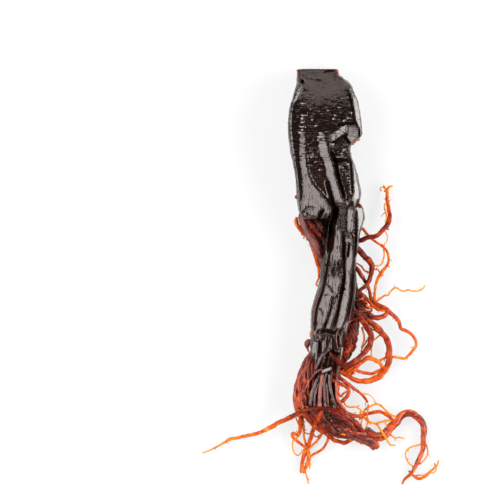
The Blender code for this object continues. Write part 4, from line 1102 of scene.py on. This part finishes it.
def tube(name, warmth, half_widths, points, sides, wrinkle=0.10, lobes=3, seed=0, flat=FLAT):
    """A wrinkled, tapering root along a route. Its wrinkles run lengthwise and wind slowly, and it is
    flattened on its upper left, at a share of its half-width."""
    mean = float(np.mean(half_widths))
    route = smooth_route(points, max(SHORTEST_STRETCH, STRETCH_PER_WIDTH * mean))
    reached = np.concatenate([[0], np.cumsum(np.linalg.norm(np.diff(route, axis=0), axis=1))])
    share = reached / reached[-1]
    widths = np.interp(share, np.linspace(0, 1, len(half_widths)), half_widths)
    draw = random.Random(name)
    phase = draw.uniform(0, 6.28)
    twist = draw.uniform(-0.05, 0.05)
    # the route wanders to its sides, up and down, and the root swells in knobs
    wander = np.array([noise.noise(Vector((s * 0.16, seed * 3.7, phase))) for s in reached])
    sway = np.array([noise.noise(Vector((s * 0.13, phase, seed * 1.9))) for s in reached])
    knobs = np.array([noise.noise(Vector((s * 0.55 / max(mean, 1), phase + 4, 1.3))) for s in reached])
    inward = np.minimum(1, np.minimum(share, 1 - share) * 6)
    _, side, up = route_frames(route)
    route = (route + side * (wander * inward * 0.30 * mean)[:, None]
             + up * (sway * inward * 0.2 * mean)[:, None])
    _, side, up = route_frames(route)
    angles = np.arange(sides) / sides * 2 * math.pi
    rings, warm, along, around = [], [], [], []
    for i, at in enumerate(route):
        turn = angles + phase + twist * reached[i]
        furrow = np.abs(np.sin(turn * lobes / 2 + 0.6 * math.sin(reached[i] * 0.12))) - 0.6
        fine = np.sin(turn * (2 * lobes + 1) + 1.7 * math.sin(reached[i] * 0.09 + phase))
        cross = np.sin(reached[i] * 2.1 / max(mean, 0.9) + 1.3 * np.sin(angles + phase))
        radius = widths[i] * (1 + 0.16 * knobs[i] + wrinkle * (furrow + 0.35 * fine) + 0.035 * cross)
        if share[i] > 0.999:
            radius = radius * 0.45
        offset = (np.cos(angles) * radius)[:, None] * side[i] + (np.sin(angles) * radius)[:, None] * up[i]
        level = widths[i] * (flat + 0.10 * knobs[i] + 0.06 * math.sin(reached[i] * 1.9 + phase))
        offset -= np.maximum(offset @ FACET - level, 0)[:, None] * FACET
        place = at + offset
        place[:, 2] = np.maximum(place[:, 2], CLEAR_OF_FLOOR)
        rings.append(to_metres(place))
        blend = np.interp(share[i], np.linspace(0, 1, len(warmth)), warmth) + 0.35 * knobs[i]
        # the furrows take less warmth and the ridges more: painted shade in the furrows and painted light
        # on the ridges
        warm.append(np.full(sides, blend) + 0.18 * furrow * min(1.0, mean / 2))
        along.append(np.full(sides, reached[i]))
        around.append(np.cos(angles) * widths[i])
    facts = {"warmth": warm, "along": along, "around": around}
    return as_object(skin_over(rings, facts), name)


def sides_for(mean):
    """Thick roots get more sides than thin ones."""
    return next(count for above, count in SIDES if mean > above)


def rootlet_group(group, name, first_seed, others):
    """Every rootlet of one group and the others given, joined in one piece."""
    made = list(others)
    for k, (label, (warmth, half_widths, points)) in enumerate(group.items()):
        mean = float(np.mean(half_widths))
        made.append(tube(label, warmth, half_widths, points, sides_for(mean),
                         wrinkle=0.17 if mean > 1.4 else 0.09, lobes=3 if mean < 3 else 5,
                         seed=first_seed + k, flat=FLATTENED.get(label, FLAT)))
    return join_as(made, name)


def twisted_root(label, strands, twist, loose, warmth, half_widths, points):
    """A root of several strands that wind round each other, with a core where they are many, coloured
    as painted shade that shows in the gaps between the strands.
    """
    route = smooth_route(points, 1.0)
    reached = np.concatenate([[0], np.cumsum(np.linalg.norm(np.diff(route, axis=0), axis=1))])
    share = reached / reached[-1]
    widths = np.interp(share, np.linspace(0, 1, len(half_widths)), half_widths)
    _, side, up = route_frames(route)
    slice_share = math.sin(math.pi / strands)
    strand_share = 1.25 * slice_share / (1 + slice_share)  # wide enough for strands to overlap
    made = []
    draw = random.Random(label)
    if strands > 4:
        # painted shade: the core takes a fifth of the warmth, so the gaps between strands look dark
        shaded_core_warmth = [0.2 * value for value in warmth]
        made.append(tube(f"{label}_core", shaded_core_warmth, widths * 0.72, route[::3], 24))
    for k in range(strands):
        turn = 2 * math.pi * k / strands + reached * twist + loose * np.sin(reached * 0.22 + 2 * k)
        ring = side * np.cos(turn)[:, None] + up * np.sin(turn)[:, None]
        depth = 1 - 0.35 * loose * (0.5 + 0.5 * np.sin(reached * 0.45 + 3 * k))
        strand = route + ring * ((1 - strand_share) * widths * depth)[:, None]
        other = draw.uniform(-0.4, 0.4)
        made.append(tube(f"{label}_{k}", [value + other for value in warmth],
                         widths * strand_share * 1.08, strand[::3], 12, wrinkle=0.2, lobes=3,
                         seed=40 + k))
    return made


def tangled_strands():
    """Short dark strands that lie over and under each other on the trunk's right-hand side."""
    draw = random.Random(11)
    made = {}
    for k in range(STRANDS_IN_TANGLE):
        at = TANGLE_START + draw.random() * TANGLE_REACH
        at += (draw.uniform(-4, 4), draw.uniform(-3, 3), draw.uniform(-2, 4.6))
        heading = draw.uniform(0.1, 1.5)
        points = [at]
        for _ in range(3):
            heading += draw.uniform(-0.7, 0.7)
            step = draw.uniform(3, 4.6) * np.array([math.cos(heading), math.sin(heading), 0])
            points.append(points[-1] + step + (0, 0, draw.uniform(-1.4, 1.0)))
        wide = draw.uniform(0.8, 1.4)
        warm = draw.choice((0.0, 0.0, 0.1, 0.3, 0.8))
        made[f"strand_{k}"] = ((warm, warm + 0.2), (wide, wide * 1.1, wide * 0.7), points)
    return made


def twigs_on(group, draw):
    """Small twigs that stand out of a group's thin rootlets, as short bent tubes."""
    made = []
    for label, (_, half_widths, points) in group.items():
        mean = float(np.mean(half_widths))
        if mean > THICKEST_WITH_TWIGS:
            continue
        route = smooth_route(points, 1.0)
        frames = route_frames(route)
        for _ in range(int(len(route) / TWIG_SPACING)):
            i = draw.randrange(3, max(4, len(route) - 2))
            i = min(i, len(route) - 1)
            angle = draw.uniform(0, 6.28)
            out = frames[1][i] * math.cos(angle) + frames[2][i] * math.sin(angle)
            out[2] = abs(out[2]) * 0.5
            lean = frames[0][i] * draw.uniform(0.2, 1.1)
            length = draw.uniform(1.4, 3.6)
            start = route[i]
            middle = start + out * (mean + 0.35 * length) + lean * length * 0.5
            end = middle + out * length * 0.35 + lean * length * 0.7
            end[2] = max(end[2], 0.6)
            thick = draw.uniform(0.28, 0.55)
            made.append(tube(f"twig_{label}_{len(made)}", (2.1, 2.9), (thick * 1.3, thick, thick * 0.6),
                             [start, middle, end], 6, wrinkle=0.05))
    return made


def fringe_fibres(draw):
    """Ragged, short fibres where the skin is torn."""
    made = []
    for line, count, reach in FRINGES:
        route = smooth_route(line, 0.5)
        for _ in range(count):
            start = route[draw.randrange(len(route))] + np.array(
                [draw.uniform(-0.5, 0.5), draw.uniform(-0.2, 0.6), draw.uniform(-3, 3)])
            lean = np.array([draw.uniform(-0.8, 0.8), draw.uniform(-0.3, 0.8), draw.uniform(-0.3, 0.7)])
            end = start + lean * reach * draw.uniform(0.5, 1.0)
            start[1], end[1] = max(start[1], 70.6), max(end[1], 70.6)
            middle = (start + end) / 2 + np.array([draw.uniform(-0.4, 0.4), draw.uniform(-0.4, 0.4), 0])
            thick = draw.uniform(0.3, 0.65)
            warm = draw.uniform(0.6, 2.0)
            made.append(tube(f"fringe_{len(made)}", (warm, warm + 0.6), (thick, thick * 0.9, thick * 0.4),
                             [start, middle, end], 6, wrinkle=0.12))
    return made


# Materials

class Shade:
    """A shader's socket, so that sums and products of values are written as Python expressions."""

    def __init__(self, tree, socket):
        self.tree = tree
        self.socket = socket

    def maths(self, operation, other, swapped=False, clamp=False):
        values = {0: other, 1: self} if swapped else {0: self, 1: other}
        return add_node(self.tree, "ShaderNodeMath", {"operation": operation, "use_clamp": clamp}, values)

    def __add__(self, other):
        return self.maths("ADD", other)

    def __sub__(self, other):
        return self.maths("SUBTRACT", other)

    def __mul__(self, other):
        return self.maths("MULTIPLY", other)

    def __truediv__(self, other):
        return self.maths("DIVIDE", other)

    def __rsub__(self, other):
        return self.maths("SUBTRACT", other, swapped=True)

    __radd__ = __add__
    __rmul__ = __mul__

    def held(self):
        """The value kept between 0 and 1."""
        return self.maths("ADD", 0.0, clamp=True)


def add_node(tree, kind, settings=None, values=None, take=0):
    """Adds a node, sets its settings, then its sockets, and returns one of its outputs."""
    made = tree.nodes.new(kind)
    for name, value in (settings or {}).items():
        if name == "stops":
            ramp = made.color_ramp
            while len(ramp.elements) < len(value):
                ramp.elements.new(0.5)
            for element, (position, colour) in zip(ramp.elements, value):
                element.position = position
                element.color = (*colour, 1.0)
        else:
            setattr(made, name, value)
    for name, value in (values or {}).items():
        socket = made.inputs[name]
        if isinstance(value, Shade):
            tree.links.new(value.socket, socket)
        else:
            socket.default_value = value
    return Shade(tree, made.outputs[take])


def new_shader(name, constants):
    """A material with one Principled shader, whose unchanging values are set on its own sockets."""
    material = bpy.data.materials.new(name)
    material.use_nodes = True
    shader = material.node_tree.nodes["Principled BSDF"]
    for socket, value in constants.items():
        shader.inputs[socket].default_value = value
    return material, material.node_tree, shader


def feed(tree, shader, **sockets):
    """Links values to a shader's sockets, whose spaces are written as underscores."""
    for name, shade in sockets.items():
        tree.links.new(shade.socket, shader.inputs[name.replace("_", " ")])


def kept_value(tree, name):
    """A value that the mesh keeps at its points."""
    return add_node(tree, "ShaderNodeAttribute", {"attribute_name": name}, take=2)


def object_place(tree):
    """Where a point lies in its object's own space."""
    return add_node(tree, "ShaderNodeTexCoord", take=3)


def texture(tree, where, scale, detail=3.0, rough=0.55):
    """Noise from 0 to 1."""
    return add_node(tree, "ShaderNodeTexNoise", {"noise_dimensions": "3D"}, {
        "Vector": where, "Scale": scale, "Detail": detail, "Roughness": rough})


def stretched(tree, where, scale):
    """Places with each axis scaled on its own."""
    return add_node(tree, "ShaderNodeMapping", {}, {"Vector": where, "Scale": scale})


def mix_colours(tree, share, a, b):
    """Colour a, or b where the share is 1."""
    return add_node(tree, "ShaderNodeMix", {"data_type": "RGBA"}, {0: share, 6: a, 7: b}, take=2)


def colour_of(values):
    """A setting's colour with its alpha, as sockets take it."""
    return (*values, 1.0)


def bump(tree, height, strength, distance):
    """A normal that leans as the height does."""
    return add_node(tree, "ShaderNodeBump", {}, {
        "Height": height, "Strength": strength, "Distance": distance})


def body_skin():
    """Black, glossy steamed skin with fine wrinkles, browner in its patches, and with dark, matte
    shade painted into its creases, ripple lines and pitted spots and beyond the drops of its planes.
    """
    settings = bpy.context.scene.ginseng_root
    material, tree, shader = new_shader("steamed skin", {
        "IOR": 1.5, "Specular Tint": (1.0, 0.87, 0.83, 1.0), "Coat Roughness": 0.07})
    place = object_place(tree)
    warm = kept_value(tree, "warmth")
    crosswise = texture(tree, stretched(tree, place, (350.0, 2300.0, 500.0)), 1.0, 3.0)
    lengthwise = texture(tree, stretched(tree, place, (1500.0, 260.0, 900.0)), 1.0, 3.0)
    grain = texture(tree, place, 1500.0, 3.0, 0.6)
    blotch = texture(tree, place, 160.0, 4.0, 0.6)
    across = kept_value(tree, "crosswise")
    fine = crosswise * across + lengthwise * (1.0 - across)
    # thin lines of painted shade across the ripples, where the dark crease shader is mixed in
    creases = ((kept_value(tree, "rippled") - 0.5) * 0.35 + fine - 0.5) * 14.0 + 0.5
    height = fine + grain * (0.25 + 1.8 * kept_value(tree, "roughened"))
    tone = (warm + (blotch - 0.5) * 0.5).held()
    dark = mix_colours(tree, tone, colour_of(settings.black_skin), colour_of(settings.brown_skin))
    red = ((warm - 0.95) * 1.5 + (grain - 0.5) * 0.4).held()
    feed(tree, shader, Base_Color=mix_colours(tree, red, dark, colour_of(settings.red_skin)),
         Roughness=0.09 + 0.12 * blotch, Coat_Weight=0.16 + 0.84 * kept_value(tree, "wet"),
         Normal=bump(tree, height, 0.6, 0.0003))
    # the painted shade: a dark, matte shader, maroon where the skin is warm, mixed in over creases,
    # ripple lines, pitted spots and the drops of planes
    deep = mix_colours(tree, ((warm - 0.3) * 1.3).held(), colour_of(settings.crease_shade),
                       colour_of(settings.maroon_skin))
    crease_shade = add_node(tree, "ShaderNodeBsdfPrincipled", {}, {
        "Base Color": deep, "Roughness": 0.6, "Specular IOR Level": 0.035})
    shade_share = ((kept_value(tree, "dull") + creases.held()) * 0.96).held()
    both = add_node(tree, "ShaderNodeMixShader", {}, {
        0: shade_share, 1: Shade(tree, shader.outputs[0]), 2: crease_shade})
    tree.links.new(both.socket, tree.nodes["Material Output"].inputs["Surface"])
    return material


def rootlet_skin(name, gloss):
    """Skin that turns from black through red and orange to yellow as a root gets finer. A gloss of 1
    shines most."""
    settings = bpy.context.scene.ginseng_root
    material, tree, shader = new_shader(name, {
        "IOR": 1.35 + 0.15 * gloss, "Specular IOR Level": 0.08 + 0.45 * gloss ** 2,
        "Specular Tint": (1.0, 0.72 + 0.14 * gloss, 0.66 + 0.16 * gloss, 1.0),
        "Coat Weight": 0.3 * gloss ** 3, "Coat Roughness": 0.08, "Subsurface Weight": 0.12,
        "Subsurface Radius": (1.0, 0.35, 0.1), "Subsurface Scale": 0.0008})
    warm = kept_value(tree, "warmth")
    along = kept_value(tree, "along")
    around = kept_value(tree, "around")
    place = object_place(tree)
    where = add_node(tree, "ShaderNodeCombineXYZ", {}, {"X": along * 0.16, "Y": around * 0.85})
    lines = texture(tree, where, 1.0, 4.0, 0.6)
    grain = texture(tree, place, 1700.0, 3.0, 0.6)
    blotch = texture(tree, place, 420.0, 3.0, 0.55)
    heat = (warm + (blotch - 0.5) * (2.2 - 1.0 * gloss) + (lines - 0.5) * 2.2) / 3.0
    colour = add_node(tree, "ShaderNodeValToRGB", {"stops": [
        (0.0, settings.black_skin), (0.11, settings.maroon_skin), (0.31, settings.red_skin),
        (0.60, settings.orange_skin), (0.88, settings.yellow_skin)]}, {"Fac": heat})
    feed(tree, shader, Base_Color=colour, Roughness=(0.20 - 0.12 * gloss) + 0.15 * blotch,
         Normal=bump(tree, lines + 0.3 * grain, 0.7, 0.00035))
    return material


def floor_paper():
    """Plain pale paper."""
    settings = bpy.context.scene.ginseng_stage
    material, tree, shader = new_shader("pale paper", {
        "Roughness": 0.9, "Specular IOR Level": 0.1, "Emission Color": (1.0, 1.0, 1.0, 1.0),
        "Emission Strength": settings.floor_glow})
    place = object_place(tree)
    grain = texture(tree, place, 900.0, 2.0)
    shade = mix_colours(tree, (grain * 0.02).held(), colour_of(settings.floor_colour),
                        (0.13, 0.13, 0.13, 1.0))
    feed(tree, shader, Base_Color=shade)
    return material


# The skin of the crown and trunk

def raise_folds(body, depth):
    """Raises ridges, sinks grooves and wrinkles the skin, and keeps in attributes its colours and the
    dark shade painted into its creases, ripple lines and pitted spots.
    """
    mesh = body.data
    count = len(mesh.vertices)
    co = np.empty(count * 3, np.float32)
    mesh.vertices.foreach_get("co", co)
    normals = np.empty(count * 3, np.float32)
    mesh.vertex_normals.foreach_get("vector", normals)
    normals = normals.reshape(-1, 3).astype(float)
    squares = to_squares(co.reshape(-1, 3))
    x, y, z = squares.T
    facing_up = np.clip((normals[:, 2] - 0.1) / 0.45, 0, 1)
    off_floor = np.clip(z / 6, 0, 1)
    field = SkinField(squares[:, :2])
    calm, wet = field.calm, field.wet
    swell = noise_at(squares, (0.05, 0.035, 0.05), 1)
    lumps = noise_at(squares, (0.14, 0.07, 0.14), 2)
    long_wrinkles = noise_at(squares, (0.42, 0.05, 0.42), 3)
    cross_wrinkles = noise_at(squares, (0.12, 0.32, 0.12), 9)
    # spots of painted shade, as in pits, where the skin is mottled
    pit_shade = np.clip(5 * noise_at(squares, (0.75, 0.75, 0.3), 8) - 0.4, 0, 1)
    rippled, ripples, specks = crown_ripples(squares)
    mottled = spots(x, y, MOTTLED_SPOTS)
    fine = ripples * (1 - 0.95 * calm) + mottled * 1.1 * specks + 0.05 * specks
    below_waist = np.clip((y - WAIST) / 15, 0, 1)
    outward = off_floor * (0.5 * swell + 0.3 * lumps * (1 - calm)
                           + (0.12 + 0.5 * below_waist) * long_wrinkles * (1 - 0.8 * calm)
                           + (1 - facing_up) * (0.8 * long_wrinkles + 0.5 * cross_wrinkles))
    height = z + facing_up * (field.rise * depth + fine)
    too_high = np.maximum(height - HIGHEST + EASE_TO_HIGHEST, 0)
    height += EASE_TO_HIGHEST * np.tanh(too_high / EASE_TO_HIGHEST) - too_high
    moved = to_metres(np.column_stack([x, y, height])) + normals * (outward * square())[:, None]
    moved = np.clip(moved, *CAD_BOX)
    moved[:, 2] = np.maximum(moved[:, 2], 0.0)
    mesh.vertices.foreach_set("co", moved.astype(np.float32).ravel())

    warm = patch_field(squares[:, :2]) * np.clip(height / 26, 0.3, 1)
    warm = warm + 0.25 * np.clip(-field.rise / 5, 0, 1) + 0.15 * lumps
    warm += np.clip((y - 330) / 60, 0, 1) * 0.35 + 0.3 * np.clip((y - 225) / 20, 0, 1)
    crosswise = np.clip((CROSSWISE_END - 36 * calm - y) / 16, 0, 1)
    below_sheen = np.clip((y - 92) / 10, 0, 1) * np.clip((150 - y) / 10, 0, 1)
    roughened = mottled + 0.5 * below_sheen * (1 - calm)
    # how strongly thin lines of dark shade are painted across the crown's ripples, and faintly across its
    # bands
    rippled = np.clip(rippled * (0.40 + 0.13 * np.clip((y - 98) / 10, 0, 1)), 0, 1) * (1 - calm)
    rippled = rippled + 0.34 * np.clip(roughened, 0, 1) + (0.16 + 0.08 * crosswise) * calm * (1 - wet)
    # the painted shade share and the ripple shade tell the material where to paint dark, matte shade
    keep_values(mesh, {
        "warmth": warm,
        "crosswise": crosswise,
        "roughened": roughened,
        "dull": np.clip(field.dull + roughened * pit_shade, 0, 1) * facing_up,
        "rippled": rippled * facing_up,
        "wet": wet * facing_up,
    })


def keep_values(mesh, values):
    """Keeps named values at the mesh's points, for its material."""
    for name, numbers in values.items():
        layer = mesh.attributes.new(name, "FLOAT", "POINT")
        layer.data.foreach_set("value", np.clip(numbers, 0, 2).astype(np.float32))
    mesh.update()


# Stage

def build_room(brightness):
    """Pale walls that darken towards the ceiling."""
    world = bpy.data.worlds.new("room")
    world.use_nodes = True
    bpy.context.scene.world = world
    tree = world.node_tree
    direction = add_node(tree, "ShaderNodeTexCoord")
    height = add_node(tree, "ShaderNodeSeparateXYZ", {}, {"Vector": direction}, take=2)
    shade = add_node(tree, "ShaderNodeValToRGB", {"stops": [
        (0.0, (0.9, 0.9, 0.9)), (0.14, (0.8, 0.8, 0.8)), (0.24, (0.07, 0.07, 0.07)),
        (1.0, (0.04, 0.04, 0.04))]}, {"Fac": height})
    background = tree.nodes["Background"]
    tree.links.new(shade.socket, background.inputs["Color"])
    background.inputs["Strength"].default_value = brightness


def lay_floor():
    """A round, pale floor."""
    bm = bmesh.new()
    bmesh.ops.create_circle(bm, cap_ends=True, segments=96, radius=4.0)
    floor = as_object(bm, "floor")
    floor.data.materials.append(floor_paper())


def hang_softboxes(settings, centre):
    """Four softboxes that look at the root from their compass direction and slant."""
    boxes = (
        ("left softbox", 180, 42, (1.1, 0.58), settings.left_light),
        ("right softbox", 0, 60, (1.1, 0.62), settings.right_light),
        ("far softbox", 90, 46, (0.9, 0.62), settings.far_light),
        ("near softbox", 270, 65, (0.9, 0.35), settings.near_light),
    )
    for name, compass, slant, size, power in boxes:
        compass, slant = math.radians(compass), math.radians(slant)
        at = LIGHT_DISTANCE * Vector((math.sin(slant) * math.cos(compass),
                                      math.sin(slant) * math.sin(compass), math.cos(slant)))
        lamp = bpy.data.lights.new(name, "AREA")
        lamp.shape = "RECTANGLE"
        lamp.size, lamp.size_y = size
        lamp.energy = power
        light = bpy.data.objects.new(name, lamp)
        light.location = centre + at
        light.rotation_euler = (centre - light.location).to_track_quat("-Z", "Y").to_euler()
        bpy.context.scene.collection.objects.link(light)


def hang_camera(length, centre):
    """A camera straight above, as far up as its lens needs to see the view's width."""
    lens = bpy.data.cameras.new("camera")
    lens.lens = length
    lens.sensor_width = 36.0
    camera = bpy.data.objects.new("camera", lens)
    far = VIEW_WIDTH * square() * length / lens.sensor_width
    camera.location = centre + Vector((0, 0, far))
    bpy.context.scene.collection.objects.link(camera)
    bpy.context.scene.camera = camera


# Operators

class BuildBody(bpy.types.Operator):
    """Crown and trunk in one skin, with their ridges, grooves, cracks and ripples"""

    bl_idname = "ginseng.build_body"
    bl_label = "Crown and trunk"

    def execute(self, context):
        settings = context.scene.ginseng_root
        crown = body_loft("crown", CROWN_EDGES, CROWN_TOP, CROWN_BOX)
        trunk = body_loft("trunk", TRUNK_EDGES, TRUNK_TOP, TRUNK_BOX)
        body = join_as([crown, trunk], "crown_and_trunk")
        apply_modifier(body, "REMESH", mode="VOXEL", voxel_size=settings.grain)
        apply_modifier(body, "SMOOTH", factor=0.5, iterations=6)
        raise_folds(body, settings.fold_depth)
        put_in_frame(body, body_skin())
        return {"FINISHED"}


class BuildThickRoots(bpy.types.Operator):
    """Side roots that are nearly as thick as the trunk, and the twisted tail"""

    bl_idname = "ginseng.build_thick_roots"
    bl_label = "Thick side roots"

    def execute(self, context):
        made = []
        for k, (label, (warmth, half_widths, points)) in enumerate(THICK_ROOTS.items()):
            mean = float(np.mean(half_widths))
            smooth = label in SMOOTH_ROOTS
            made.append(tube(label, warmth, half_widths, points, 2 * sides_for(mean),
                             wrinkle=0.05 if smooth else 0.14, lobes=2 if smooth else 7, seed=10 + k,
                             flat=FLATTENED.get(label, FLAT)))
        for label, row in TWISTED_ROOTS.items():
            made += twisted_root(label, *row)
        put_in_frame(join_as(made, "thick_side_roots"), rootlet_skin("side root skin", 0.8))
        return {"FINISHED"}


class BuildRootlets(bpy.types.Operator):
    """Rootlets on the right, at the tail, on the left and over the trunk"""

    bl_idname = "ginseng.build_rootlets"
    bl_label = "Rootlets"

    def execute(self, context):
        right_side = {**RIGHT_ROOTLETS, **TANGLE_ROOTLETS, **tangled_strands()}
        groups = (
            ("right_rootlets", right_side, 100, 0.5, twisted_root("red_mass", *RED_MASS)),
            ("tail_rootlets", LOW_ROOTLETS, 200, 0.5, []),
            ("left_rootlets", LEFT_ROOTLETS, 300, 0.5, []),
            ("trunk_rootlets", MIDDLE_ROOTLETS, 400, 1.0, []),
        )
        for name, group, seed, gloss, others in groups:
            put_in_frame(rootlet_group(group, name, seed, others), rootlet_skin(name, gloss))
        return {"FINISHED"}


class BuildFibres(bpy.types.Operator):
    """Small twigs on the rootlets, and ragged fibres where the skin is torn"""

    bl_idname = "ginseng.build_fibres"
    bl_label = "Twigs and fibres"

    def execute(self, context):
        draw = random.Random(7)
        made = []
        for group in (RIGHT_ROOTLETS, LOW_ROOTLETS, LEFT_ROOTLETS):
            made += twigs_on(group, draw)
        made += fringe_fibres(draw)
        put_in_frame(join_as(made, "fibres"), rootlet_skin("fibre skin", 0.0))
        return {"FINISHED"}


class BuildStage(bpy.types.Operator):
    """Pale floor, softboxes, pale room and a camera that looks straight down"""

    bl_idname = "ginseng.build_stage"
    bl_label = "Stage"

    def execute(self, context):
        settings = context.scene.ginseng_stage
        centre = Vector(to_metres([(*VIEW_CENTRE, VIEW_HEIGHT)])[0])
        lay_floor()
        hang_softboxes(settings, centre)
        build_room(settings.room_light)
        hang_camera(settings.lens, centre)
        context.scene.view_settings.view_transform = "Standard"
        return {"FINISHED"}


class GinsengPanel(bpy.types.Panel):
    """Lists the root's pieces and its stage"""

    bl_idname = "VIEW3D_PT_ginseng_root"
    bl_label = "Ginseng Root"
    bl_space_type = "VIEW_3D"
    bl_region_type = "UI"
    bl_category = "Ginseng Root"

    def draw(self, context):
        for owner in (context.scene.ginseng_root, context.scene.ginseng_stage):
            for name in owner.__annotations__:
                self.layout.prop(owner, name)
        for operator in BUILDERS:
            self.layout.operator(operator.bl_idname)


BUILDERS = (BuildStage, BuildBody, BuildThickRoots, BuildRootlets, BuildFibres)
CLASSES = (GinsengRootSettings, GinsengStageSettings, *BUILDERS, GinsengPanel)


def register():
    """Adds the classes and the settings to Blender."""
    for item in CLASSES:
        bpy.utils.register_class(item)
    bpy.types.Scene.ginseng_root = PointerProperty(type=GinsengRootSettings)
    bpy.types.Scene.ginseng_stage = PointerProperty(type=GinsengStageSettings)


def unregister():
    """Takes the classes and the settings out again."""
    del bpy.types.Scene.ginseng_stage
    del bpy.types.Scene.ginseng_root
    for item in reversed(CLASSES):
        bpy.utils.unregister_class(item)


def main():
    """Builds the stage and the root."""
    register()
    bpy.ops.ginseng.build_stage()
    bpy.ops.ginseng.build_body()
    bpy.ops.ginseng.build_thick_roots()
    bpy.ops.ginseng.build_rootlets()
    bpy.ops.ginseng.build_fibres()


if __name__ == "__main__":
    main()
